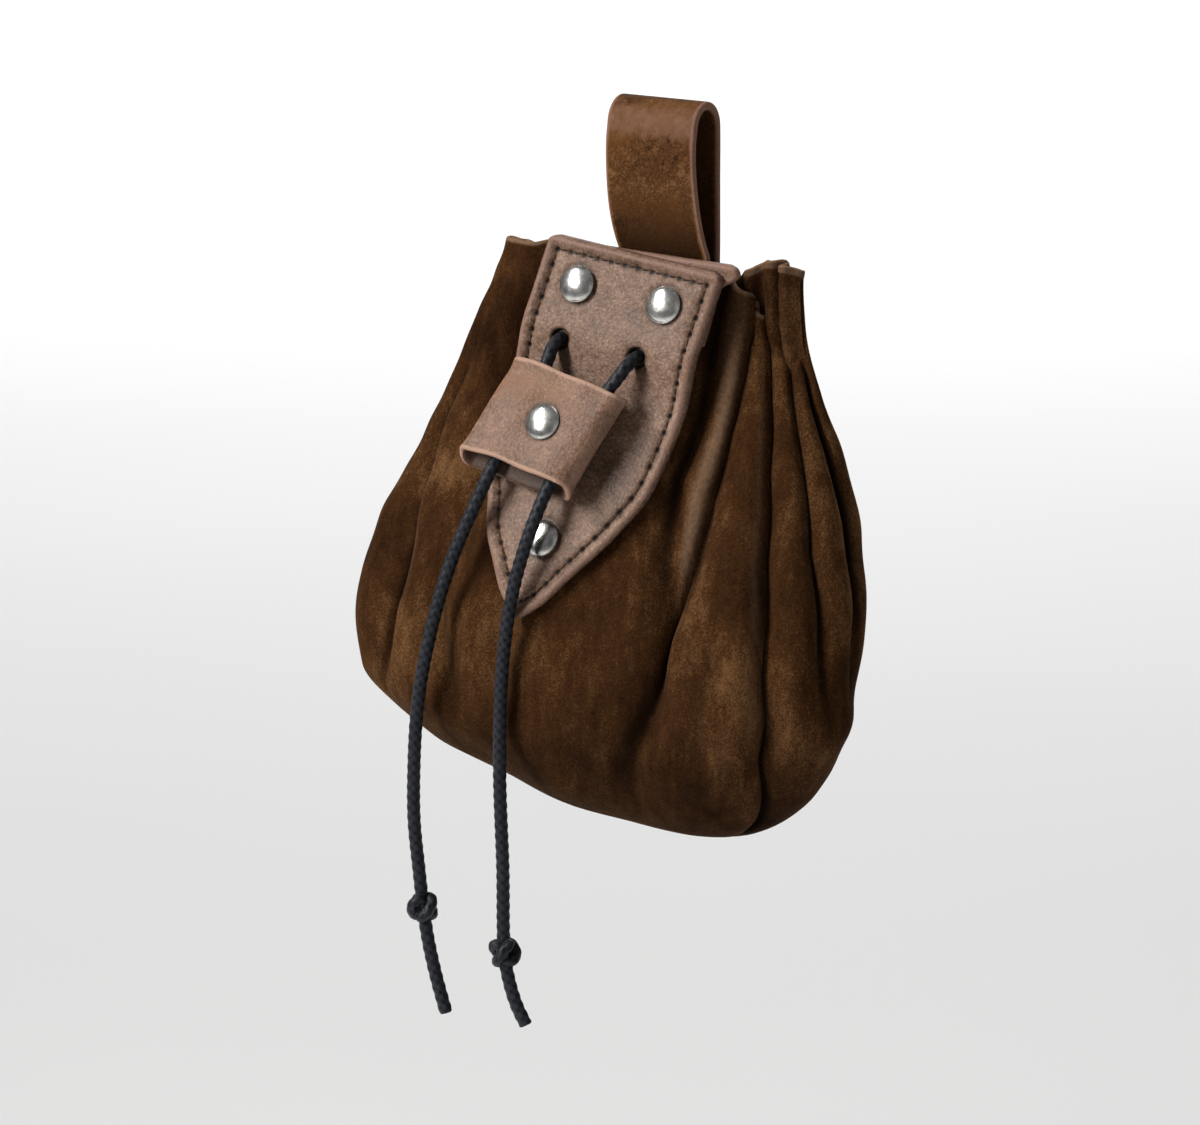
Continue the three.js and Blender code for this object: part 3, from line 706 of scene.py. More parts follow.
FRONT_CREASES = (
    # Beside the plate's right edge, running on as a soft valley down the belly
    Crease(((0, 0.876, 4.6, 2.0, -0.6), (0.17, 0.856, 4.6, 2.4, -1.0), (0.35, 0.822, 5.0, 3.0, -1.6),
            (0.48, 0.82, 4.2, 3.0, -1.6), (0.56, 0.825, 3.4, 3.0, -1.2), (0.64, 0.834, 4.8, 3.6, -2.2),
            (0.74, 0.834, 4.2, 4.4, -1.6), (0.84, 0.829, 2.8, 5.5, -0.6), (0.95, 0.82, 0, 7, 0))),
    # Right edge of the flat pleat that stands beside the plate
    Crease(((0, 0.907, 6.0, 1.3, 1.8), (0.08, 0.901, 5.6, 1.6, 2.4), (0.17, 0.884, 5.4, 2.0, 2.8),
            (0.26, 0.862, 5.8, 2.2, 3.2), (0.37, 0.845, 6.0, 2.5, 3.2), (0.52, 0.835, 5.4, 2.6, 3.0),
            (0.62, 0.833, 4.0, 2.6, 2.0), (0.69, 0.836, 2.2, 2.6, 0.8), (0.76, 0.84, 0, 3, 0))),
    # The zigzag of the rim
    Crease(((0, 0.95, 5.0, 0.9, 0.6), (0.05, 0.948, 3.6, 1.0, 0.6), (0.13, 0.942, 0, 1.3, 0))),
    Crease(((0, 0.975, 5.6, 0.9, 0.6), (0.05, 0.972, 4.0, 1.0, 0.6), (0.13, 0.965, 0, 1.3, 0))),
    # The long sharp fold down to the bag's lowest point
    Crease(((0, 0.932, 6.4, 1.2, 1.4), (0.06, 0.93, 6.2, 1.4, 2.0), (0.18, 0.915, 6.2, 1.8, 2.8),
            (0.31, 0.899, 6.6, 2.2, 3.6), (0.45, 0.895, 6.6, 2.5, 3.8), (0.64, 0.903, 7.0, 2.8, 4.0),
            (0.8, 0.92, 6.6, 3.0, 3.8), (0.92, 0.955, 5.4, 2.8, 2.8), (1, 0.98, 1.0, 2.0, 0))),
    # The next one, which opens out on the belly
    Crease(((0, 0.962, 6.0, 1.2, 1.2), (0.06, 0.956, 5.8, 1.4, 1.8), (0.14, 0.95, 5.6, 1.7, 2.4),
            (0.24, 0.94, 5.6, 2.0, 2.8), (0.43, 0.938, 5.2, 2.3, 3.0), (0.6, 0.955, 3.6, 2.8, 2.0),
            (0.74, 0.976, 0, 3.4, 0))),
    # Round the right side
    Crease(((0, 0.99, 6.0, 1.2, 1.2), (0.12, 0.982, 5.6, 1.6, 2.0), (0.24, 0.978, 5.2, 2.2, 2.2),
            (0.45, 0.99, 4.4, 3.0, 2.0), (0.72, 1.005, 0, 4, 0))),
    # Shallow dents low on the front
    Crease(((0.52, 0.612, 0, 5, 0), (0.64, 0.618, 3.2, 4.6, 1.0), (0.74, 0.64, 3.4, 5.0, 1.0),
            (0.86, 0.668, 0, 6, 0))),
    Crease(((0.58, 0.7, 0, 4, 0), (0.7, 0.695, 2.2, 4.2, 0.6), (0.86, 0.71, 0, 5, 0))),
    Crease(((0.66, 0.862, 0, 5, 0), (0.8, 0.868, 2.2, 5.0, 0.6), (0.94, 0.88, 0, 5, 0))),
    Crease(((0.5, 0.872, 0, 4, 0), (0.64, 0.874, 1.8, 4.2, 0), (0.76, 0.88, 0, 5, 0))),
    Crease(((0.74, 0.765, 0, 5, 0), (0.86, 0.77, 2.0, 5.5, 0.6), (0.96, 0.775, 0, 5, 0))),
    # Beside the plate's left edge
    Crease(((0, 0.594, 3.6, 2.4, 0), (0.19, 0.602, 4.0, 3.2, 0.8), (0.36, 0.607, 3.8, 4.0, 1.0),
            (0.5, 0.625, 2.6, 4.6, 0.8), (0.62, 0.64, 0, 5, 0))),
    # The sharp fold on the left
    Crease(((0.2, 0.54, 0.6, 2.4, 0), (0.34, 0.546, 3.8, 2.4, -2.0), (0.45, 0.56, 5.2, 2.8, -3.2),
            (0.57, 0.576, 5.4, 3.0, -3.4), (0.66, 0.584, 4.6, 3.0, -2.8), (0.76, 0.58, 3.0, 3.0, -1.4),
            (0.88, 0.56, 0, 3, 0))),
)
# Plain pleats where the photograph doesn't show the bag: share at the rim, share low down, depth,
# width and the drop that the crease ends at
BACK_PLEATS = (
    (0.022, 0.045, 5.0, 1.8, 0.6), (0.06, 0.09, 4.4, 2.0, 0.75), (0.1, 0.14, 3.4, 2.4, 0.55),
    (0.36, 0.33, 3.0, 2.6, 0.6), (0.4, 0.37, 3.6, 2.4, 0.78), (0.44, 0.42, 3.8, 2.2, 0.66),
    (0.475, 0.465, 2.6, 2.4, 0.75),
)


@dataclass
class GatheredBag:
    """The suede bag: its form's sections with creases pressed in and lips folded over them."""

    form: PouchForm
    columns: int = 450
    rows: int = 172
    inner_rows: int = 44
    wall: float = 1.25
    rim_rise: tuple[tuple[float, float], ...] = (
        (0.0, 3.2), (0.02, 4.2), (0.05, 4.8), (0.07, 4.1), (0.094, 2.0), (0.116, -1.0), (0.155, -3.8),
        (0.25, -4.2), (0.34, -3.4), (0.46, -4.2), (0.53, -4.0), (0.57, -3.2), (0.6, -1.4), (0.65, 0),
        (0.85, -0.5), (0.87, -1.6), (0.89, -2.2), (0.903, -3.4), (0.912, -6.8), (0.925, -7.6),
        (0.934, -8.2), (0.955, -7.8), (0.966, -5.0), (0.98, -0.5), (1.0, 3.2))

    # Where the painted highlight lies on the flat pleat beside the plate: drop and share round the bag.
    highlight_pleat: tuple[tuple[float, float], ...] = (
        (0, 0.892), (0.08, 0.884), (0.17, 0.87), (0.26, 0.852), (0.37, 0.834), (0.5, 0.828))

    def creases(self) -> list[Crease]:
        """All creases, the plain ones of the back turned into rows."""
        plain = [
            Crease(((0, rim, deep, wide, 0.8), (0.5 * end, rim + 0.6 * (low - rim), deep, wide * 1.4, 0.8),
                    (end, low, 0, wide * 1.8, 0)))
            for rim, low, deep, wide, end in BACK_PLEATS
        ]
        return [*FRONT_CREASES, *plain]

    def shares(self) -> np.ndarray:
        """Places round the bag, closer together where its creases show."""
        dense = np.linspace(0, 1, 4001)
        seen = 1 - smoothstep(dense, 0.06, 0.14) + smoothstep(dense, 0.46, 0.52)
        near_creases = smoothstep(dense, 0.77, 0.81)
        right_end = 1 - smoothstep(dense, 0.02, 0.08)
        weight = 1 + 0.9 * np.clip(seen, 0, 1) + 1.5 * near_creases + 1.5 * right_end
        total = np.concatenate([[0], np.cumsum((weight[1:] + weight[:-1]) / 2)])
        even = np.arange(self.columns) / self.columns
        return np.interp(even, total / total[-1], dense)

    def outline(self, drop: np.ndarray, share: np.ndarray) -> tuple[np.ndarray, np.ndarray]:
        """The unfolded section at each drop, read at even shares of its own length.

        A superellipse: x is the centre plus the half width times the cosine to the exponent, and
        y the same with the sine.

        Args:
            drop: One drop a row.
            share: One place round the section a column.

        Returns:
            Points across and deep, rows by columns by two, and each row's length.
        """
        turn = np.linspace(0, 2 * np.pi, 1441)
        c, s = np.cos(turn), np.sin(turn)
        form = {name: value[:, None] for name, value in self.form.section(drop).items()}
        x = form["cx"] + form["hx"] * np.sign(c) * np.abs(c) ** form["q"]
        y = form["cy"] + form["hy"] * np.sign(s) * np.abs(s) ** form["q"]
        step = np.hypot(np.diff(x), np.diff(y))
        travel = np.concatenate([np.zeros((len(drop), 1)), np.cumsum(step, axis=1)], axis=1)
        length = travel[:, -1]
        points = np.stack([
            [np.interp(share, t / t[-1], row) for t, row in zip(travel, axis)] for axis in (x, y)
        ], axis=-1)
        return points, length

    def folded(self, drop: np.ndarray, share: np.ndarray) -> tuple[np.ndarray, np.ndarray, np.ndarray]:
        """The outer surface: sections with creases.

        A crease moves the points near it inwards, all in its own direction, by its depth times e to
        the minus (m / width) to the 1.4, where m is a point's distance from it round the bag. It is
        wider on the side away from its lip. The lip moves along the section towards it by the lean
        times a bell.

        Args:
            drop: One drop a row.
            share: One place round the bag a column.

        Returns:
            The points in the pouch frame, the outward directions, and a weight that is above zero for the
            painted highlight on each lip and below it for the painted shade in the folds.
        """
        points, length = self.outline(drop, share)
        along = unit(np.roll(points, -1, axis=1) - np.roll(points, 1, axis=1))
        out = np.stack([along[..., 1], -along[..., 0]], axis=-1)
        flat = points.copy()
        crease_shade = np.zeros(points.shape[:2])
        lip_highlight = np.zeros_like(crease_shade)
        section = self.form.section(drop)
        fade = (1 - smoothstep(drop, 0.93, 0.99))[:, None]
        for crease in self.creases():
            place, depth, width, tip = (v[:, None] for v in crease.at(drop))
            m = ((share[None] - place + 0.5) % 1 - 0.5) * length[:, None]
            inwards = -unit((hump(m, 2 * width + 2)[..., None] * out).sum(axis=1))
            ahead = np.stack([inwards[:, 1], -inwards[:, 0]], axis=-1)
            room = 0.85 * (section["hx"] * np.abs(inwards[:, 0]) + section["hy"] * np.abs(inwards[:, 1]))
            room = np.maximum(room[:, None], 0.1)
            side = np.sign(tip)
            reach = width * np.where(m * side > 0, 1 + 0.3 * np.minimum(np.abs(tip), 4), 1)
            press = fade * room * np.tanh(depth / room) * np.exp(-(np.abs(m) / reach) ** 1.4)
            press -= fade * 0.28 * np.abs(tip) * hump(m + side * 1.25 * width, 0.9 * width)
            slide = fade * tip * hump(m + side * 0.75 * width, 1.15 * width)
            flat += inwards[:, None] * press[..., None] + ahead[:, None] * slide[..., None]
            # Painted shade in the crease, and a painted highlight along its lip.
            crease_shade += fade * np.clip(depth / 5, 0, 1) * hump(m - side * 0.4 * width, 0.7 * width)
            lip_highlight += fade * np.abs(tip) / 4 * hump(m + side * 1.05 * width, 0.45 * width)
        z = np.broadcast_to(self.form.rim - self.form.height * drop[:, None], crease_shade.shape)
        body = np.concatenate([flat, z[..., None]], axis=-1)
        soft = smoothstep(drop, 0.25, 0.6)[:, None]
        sway = soft * (0.7 + 0.7 * wander(body, 34, 3)) + 0.18 + 0.18 * wander(body, 11, 4)
        body[..., :2] -= out * sway[..., None]
        rise = np.interp(share, *np.array(self.rim_rise).T)
        body[..., 2] += rise * (1 - smoothstep(drop, 0, 0.16))[:, None]
        pole = smoothstep(drop, 0.97, 1.0)[:, None, None]
        middle = body.mean(axis=1, keepdims=True)
        body[..., :2] = body[..., :2] * (1 - 0.15 * pole) + middle[..., :2] * 0.15 * pole
        body[..., 1] = np.minimum(body[..., 1], self.form.back_plane)
        across = np.roll(body, -1, axis=1) - np.roll(body, 1, axis=1)
        down = np.gradient(body, axis=0)
        normal = unit(np.cross(down, across))
        # The weight for the suede's colour: painted highlight on each lip, painted shade in the creases.
        relief = 0.5 * np.clip(lip_highlight, 0, 1) - 0.8 * np.clip(crease_shade - lip_highlight, 0, 1)
        return body, normal, relief + self.painted_light_and_shade(drop, share)

    def painted_light_and_shade(self, drop: np.ndarray, share: np.ndarray) -> np.ndarray:
        """Painted light and shade on the nap: a painted highlight on the flat pleat beside the plate, painted
        shade low down and at the right end.

        A bell along the pleat's middle, less a soft step down the bag and a bell at its right end.

        Args:
            drop: One drop a row.
            share: One place round the bag a column.

        Returns:
            A weight that is above zero for the painted highlight and below it for the painted shade.
        """
        pleat = np.interp(drop, *np.array(self.highlight_pleat).T)[:, None]
        # A painted highlight on the pleat; painted shade low down and at the right end.
        light = hump(share[None] - pleat, 0.011) * (1 - smoothstep(drop, 0.4, 0.6))[:, None]
        right = hump((share[None] + 0.5) % 1 - 0.5, 0.07)
        return 0.4 * light - 0.34 * smoothstep(drop, 0.66, 0.95)[:, None] - 0.16 * right

    def build(self, material: bpy.types.Material) -> bpy.types.Object:
        """The bag as one closed wall with a rounded rim.

        Args:
            material: The suede.

        Returns:
            The bag.
        """
        share = self.shares()
        v = np.linspace(0, 1, self.rows)
        drop = 1 - (1 - 0.995 * v) ** 1.22
        drop[0] = 0
        body, normal, relief = self.folded(drop, share)
        rim = (1 - smoothstep(drop * self.form.height, 0.1, 0.9))[:, None]
        # Pale cut edge at the rim; below it painted highlights and painted shade.
        wear = rim + (1 - rim) * relief
        keep = np.unique(np.round(np.linspace(0, 1, self.inner_rows) ** 1.6 * (self.rows - 1)).astype(int))
        keep = keep[drop[keep] < 0.975]
        inner = body[keep] - normal[keep] * self.wall
        inner[..., 1] = np.minimum(inner[..., 1], self.form.back_plane - 0.6)
        lip_turn = np.linspace(0, np.pi, 6)[1:-1]
        top, top_in = body[0], inner[0]
        centre, half = (top + top_in) / 2, (top - top_in) / 2
        bow = np.array([0, 0, 1.0]) * self.wall / 2
        lip = np.stack([centre + half * math.cos(t) + bow * math.sin(t) for t in lip_turn])
        skin = Skin()
        outer_n = skin.add(self.form.to_part(body) * MM, wear)
        lip_n = skin.add(self.form.to_part(lip) * MM, 1.0)
        # The inside wall: pale cut edge at the top, painted shade below it.
        inner_edge_and_shade = np.where((drop[keep] < 0.012)[:, None], 0.7, -0.35) * np.ones((1, self.columns))
        inner_n = skin.add(self.form.to_part(inner) * MM, inner_edge_and_shade)
        skin.quads(np.vstack([outer_n[::-1], lip_n, inner_n])[::-1], wrap_columns=True)
        for grid, numbers, turned in ((body, outer_n, False), (inner, inner_n, True)):
            tip = grid[-1].mean(axis=0)
            number = skin.add(self.form.to_part(tip[None]) * MM, 0.0)
            skin.fan(numbers[-1], int(number[0]), turned=turned)
        return fit(skin.solid("suede_bag", material), "suede", "bag")


# Plate, patch and stitches


@dataclass
class FrontPlate:
    """The stitched plate: a leather shield with a rolled edge, a sewn groove and cord holes."""

    form: PouchForm
    width: float = 44.0
    length: float = 78.0
    drops: tuple[float, ...] = (0, 0.25, 0.45, 0.6, 0.72, 0.8, 0.87, 0.94, 1)
    left: tuple[float, ...] = (0.515, 0.543, 0.557, 0.545, 0.462, 0.408, 0.325, 0.24, 0.125)
    right: tuple[float, ...] = (0.48, 0.448, 0.438, 0.41, 0.31, 0.215, 0.12, 0.03, -0.08)
    corner: float = 2.6
    stitch_line: float = 3.0
    stitch_pitch: float = 3.5
    holes: tuple[float, ...] = (-0.31, 0.13)
    hole_drop: float = 21.0
    rivets: tuple[tuple[float, float], ...] = ((-0.285, 0.115), (0.21, 0.115), (-0.08, 0.78))
    edge_steps: tuple[float, ...] = (
        0, 0.12, 0.3, 0.55, 0.9, 1.35, 1.8, 2.2, 2.5, 2.75, 3.0, 3.25, 3.5, 3.9, 4.5)
    middle_steps: int = 66
    down_steps: int = 214

    def edges(self, z: np.ndarray, inset: float = 0.0) -> tuple[np.ndarray, np.ndarray]:
        """The left and right edge at each height, set in square to themselves.

        Args:
            z: Heights, from 0 at the top down.
            inset: How far inside the edge.

        Returns:
            The left and the right edge's place across.
        """
        drop = np.clip(-z / self.length, 0, 1)
        found = []
        for way, share in ((-1, self.left), (1, self.right)):
            x = way * self.width * smooth_table(self.drops, share, drop)
            slope = np.gradient(x, z) if len(z) > 1 else 0.0
            found.append(x - way * inset * np.sqrt(1 + slope**2))
        return found[0], found[1]

    def border(self, inset: float = 0.0, step: float = 0.25) -> np.ndarray:
        """The outline as points across and down: from the top left down to the tip and up again."""
        z = -np.arange(inset, self.length + step / 2, step)
        left, right = self.edges(z, inset)
        if inset:
            open_here = right > left
            z, left, right = z[open_here], left[open_here], right[open_here]
        down = np.stack([left, z], axis=1)
        up = np.stack([right, z], axis=1)[::-1]
        return np.vstack([down, up])

    def stitches(self) -> np.ndarray:
        """Where the needle went through: places across and down, evenly spaced on each side."""
        line = self.border(self.stitch_line)
        half = len(line) // 2
        tip = (line[half - 1] + line[half]) / 2
        sides = [np.vstack([line[:half], tip]), np.vstack([tip, line[half:]]), line[[-1, 0]]]
        found = []
        for side in sides:
            travel = np.concatenate([[0], np.cumsum(np.linalg.norm(np.diff(side, axis=0), axis=1))])
            count = max(1, round(travel[-1] / self.stitch_pitch))
            even = np.linspace(0, travel[-1], count + 1)[:-1]
            found.append(np.stack([np.interp(even, travel, side[:, k]) for k in (0, 1)], axis=1))
        return np.vstack(found)

    def distance(self, points: np.ndarray, line: np.ndarray) -> np.ndarray:
        """How far places are from a closed line of points."""
        start, end = line, np.roll(line, -1, axis=0)
        way = end - start
        long = np.maximum((way**2).sum(1), 1e-9)
        nearest = np.full(points.shape[:-1], 1e9)
        for a, w, size in zip(start, way, long):
            t = np.clip(((points - a) @ w) / size, 0, 1)
            gap = points - (a + t[..., None] * w)
            nearest = np.minimum(nearest, np.hypot(gap[..., 0], gap[..., 1]))
        return nearest

    def relief(self, x: np.ndarray, z: np.ndarray) -> tuple[np.ndarray, np.ndarray]:
        """How far the surface stands above the plain plate, how worn its edges are, and where shade is
        painted.

        With e the distance from the edge: a quarter round at the edge, a bell for the rolled welt,
        a broad and a narrow dip at the seam, a pit at each stitch, a funnel at each cord hole and
        a soft ring round each rivet.

        Args:
            x: Places across.
            z: Places down.

        Returns:
            The lift, and a weight for the worn edges and the painted shade.
        """
        places = np.stack([x, z], axis=-1)
        outline = self.border(step=1.2)
        e = self.distance(places, outline)
        turned = np.clip(1 - e / 0.75, 0, 1)
        lift = -0.75 * (1 - np.sqrt(1 - turned**2)) + 0.4 * hump(e - 1.3, 0.85)
        lift -= 0.42 * hump(e - self.stitch_line, 0.42) + 0.18 * hump(e - self.stitch_line, 1.3)
        pits = np.zeros_like(lift)
        for px, pz in self.stitches():
            pits = np.maximum(pits, hump(np.hypot(x - px, z - pz), 0.5))
        lift -= 0.6 * pits
        # A pale worn edge, and painted shade in the stitch groove and the stitch holes.
        wear = 0.75 * hump(e - 0.75, 0.75) - 0.5 * hump(e - self.stitch_line, 0.5) - 0.9 * pits
        for share in self.holes:
            r = np.hypot(x - self.width * share, z + self.hole_drop)
            lift -= 2.6 * (1 - smoothstep(r, 1.4, 2.3)) + 0.25 * hump(r - 2.4, 0.9)
            # Painted shade in the cord hole.
            wear -= 1.2 * (1 - smoothstep(r, 1.6, 3.4))
        for share, drop in self.rivets:
            r = np.hypot(x - self.width * share, z + self.length * drop)
            lift -= 0.3 * hump(r - 4.1, 0.9)
            # Painted shadow round the rivet.
            wear -= 0.55 * hump(r - 4.2, 0.55)
        # Painted shadow that the keeper casts on the plate, below and to the right of it.
        keeper_shade = hump(np.hypot((x - 7.5) / 7.5, (z + 47) / 11.5), 1.0)
        lift += 0.18 * wander(np.stack([x, 0 * x, z], axis=-1), 17, 21)
        wear -= 0.42 * keeper_shade
        return lift, wear

    def build(self, material: bpy.types.Material) -> bpy.types.Object:
        """The plate as one closed shell.

        Args:
            material: Its leather.

        Returns:
            The plate.
        """
        z = -self.length * np.linspace(0, 1, self.down_steps) ** 0.97
        left, right = self.edges(z)
        slope = [np.abs(np.gradient(side, z)) for side in (left, right)]
        top = np.clip(-z, 0, self.corner)
        round_in = self.corner - np.sqrt(np.maximum(self.corner**2 - (self.corner - top) ** 2, 0))
        left, right = left + round_in, right - round_in
        wide = right - left
        steps = np.array(self.edge_steps)
        offset = [steps[None] * np.sqrt(1 + np.minimum(s, 2.5)[:, None] ** 2) for s in slope]
        room = np.minimum(1, 0.42 * wide / np.maximum(offset[0][:, -1], offset[1][:, -1]))[:, None]
        from_left = left[:, None] + offset[0] * room
        from_right = (right[:, None] - offset[1] * room)[:, ::-1]
        t = np.linspace(0, 1, self.middle_steps + 2)[1:-1]
        middle = from_left[:, -1:] * (1 - t) + from_right[:, :1] * t
        x = np.hstack([from_left, middle, from_right])
        zz = np.broadcast_to(z[:, None], x.shape)
        lift, wear = self.relief(x, zz)
        front = self.form.plate(x, zz, lift)
        back = self.form.plate(x, zz, -self.form.plate_wall + 0.02)
        skin = Skin()
        f = skin.add(self.form.to_part(front) * MM, wear)
        b = skin.add(self.form.to_part(back) * MM, 0.3)
        skin.quads(f)
        skin.quads(b[:, ::-1])
        ring_f = np.concatenate([f[:, 0], f[-1, 1:], f[::-1, -1][1:], f[0, ::-1][1:-1]])
        ring_b = np.concatenate([b[:, 0], b[-1, 1:], b[::-1, -1][1:], b[0, ::-1][1:-1]])
        skin.quads(np.stack([ring_f, ring_b], axis=1)[::-1], wrap_rows=True)
        return fit(skin.solid("stitched_plate", material), "plate_leather", "front_plate")

    def build_thread(self, material: bpy.types.Material) -> bpy.types.Object:
        """The seam's thread: one short bowed tube for each stitch, sunk in the groove.

        Args:
            material: Its thread.

        Returns:
            All the stitches as one piece.
        """
        places = self.stitches()
        following = np.roll(places, -1, axis=0)
        way = following - places
        mid = (places + following) / 2
        along = unit(way)
        tilt = 0.13
        turned = np.stack([along[:, 0] - tilt * along[:, 1], along[:, 1] + tilt * along[:, 0]], axis=1)
        t = np.linspace(-1, 1, 9)
        reach = np.minimum(np.linalg.norm(way, axis=1) / 2 - 0.25, 1.35)
        line = mid[:, None] + turned[:, None] * (t * 1.0)[None, :, None] * reach[:, None, None]
        lift, _ = self.relief(line[..., 0], line[..., 1])
        floor = lift.max(axis=1, keepdims=True) - 0.12
        height = floor - 0.55 * np.abs(t) ** 3
        centre = self.form.plate(line[..., 0], line[..., 1], height)
        side = np.stack([-turned[:, 1], 0 * turned[:, 0], turned[:, 0]], axis=1)[:, None]
        out = np.array([0, -1.0, 0])
        ring = np.linspace(0, 2 * np.pi, 9)[:-1]
        thick = 0.33 * np.sqrt(1 - 0.75 * t**2)
        skin = Skin()
        for k in range(len(places)):
            tube = (centre[k][:, None] + thick[:, None, None]
                    * (np.cos(ring)[None, :, None] * side[k] + np.sin(ring)[None, :, None] * out))
            n = skin.add(self.form.to_part(tube) * MM, 0.6)
            skin.quads(n[::-1], wrap_columns=True)
            for end, turned_fan in ((0, False), (-1, True)):
                tip = skin.add(self.form.to_part(centre[k][end][None]) * MM, 0.2)
                skin.fan(n[end], int(tip[0]), turned=not turned_fan)
        return fit(skin.solid("plate_stitching", material), "waxed_cord")


@dataclass
class BackingPatch:
    """The second layer of leather, which shows above and beside the plate's top right corner."""

    form: PouchForm
    left: float = -21.0
    right: float = 23.9
    top_left: float = -1.2
    top_right: float = 1.9
    foot: float = -16.0
    corner: float = 2.4
    slip: float = 4.2

    def build(self, material: bpy.types.Material) -> bpy.types.Object:
        """The patch as a closed sheet with a rolled edge: a grid whose corners are rounded.

        Its right edge slips in behind the plate by the slip on its way down.

        Args:
            material: Its leather.

        Returns:
            The patch.
        """
        u, v = np.linspace(0, 1, 90)[None], np.linspace(0, 1, 44)[:, None]
        top = self.top_left + (self.top_right - self.top_left) * u
        z = top + (self.foot - top) * v
        fall = np.clip(top - z, 0, self.corner)
        cut = self.corner - np.sqrt(np.maximum(self.corner**2 - (self.corner - fall) ** 2, 0))
        slip = self.slip * smoothstep(-z, 0.2, 4.4)
        left, right = self.left + cut, self.right - slip - cut
        x = left + (right - left) * u
        e = np.minimum(np.minimum(x - self.left, self.right - slip - x), np.minimum(top - z, 9))
        turned = np.clip(1 - e / 0.7, 0, 1)
        lift = -0.6 * (1 - np.sqrt(1 - turned**2)) + 0.1 * hump(e - 1.3, 0.8)
        outer = self.form.front(x, z) - 2 * self.form.gap - self.form.strap_wall - self.form.patch_wall
        front = np.stack(np.broadcast_arrays(x, outer - lift, z), axis=-1)
        back = np.stack(np.broadcast_arrays(x, outer + self.form.patch_wall, z), axis=-1)
        skin = Skin()
        wear = 0.9 * (1 - smoothstep(e, 0.5, 2.2))
        f = skin.add(self.form.to_part(front) * MM, wear)
        b = skin.add(self.form.to_part(back) * MM, 0.4)
        skin.quads(f)
        skin.quads(b[:, ::-1])
        ring_f = np.concatenate([f[:, 0], f[-1, 1:], f[::-1, -1][1:], f[0, ::-1][1:-1]])
        ring_b = np.concatenate([b[:, 0], b[-1, 1:], b[::-1, -1][1:], b[0, ::-1][1:-1]])
        skin.quads(np.stack([ring_f, ring_b], axis=1)[::-1], wrap_rows=True)
        return fit(skin.solid("backing_layer", material), "plate_leather", "backing_patch")


# Strap and keeper


def rounded_bar(wide: float, thick: float, corner: float, across: int) -> np.ndarray:
    """A rounded rectangle's outline: wide across, thick upward from zero, corners as arcs.

    Args:
        wide: Its width, centred on zero.
        thick: Its thickness.
        corner: The corners' radius.
        across: How many points run along each long side.

    Returns:
        The outline's points, across and up, once round from the lower left.
    """
    w, c = wide / 2 - corner, corner
    runs = []
    for cx, cy, start in ((w, c, -90), (w, thick - c, 0), (-w, thick - c, 90), (-w, c, 180)):
        a = np.radians(np.linspace(start, start + 90, 5))
        runs.append(np.stack([cx + c * np.cos(a), cy + c * np.sin(a)], axis=1))
    t = np.linspace(0, 1, across + 2)[1:-1, None]
    bottom = runs[3][-1] * (1 - t) + runs[0][0] * t
    top = runs[1][-1] * (1 - t) + runs[2][0] * t
    return np.vstack([bottom, runs[0], runs[1], top, runs[2], runs[3]])


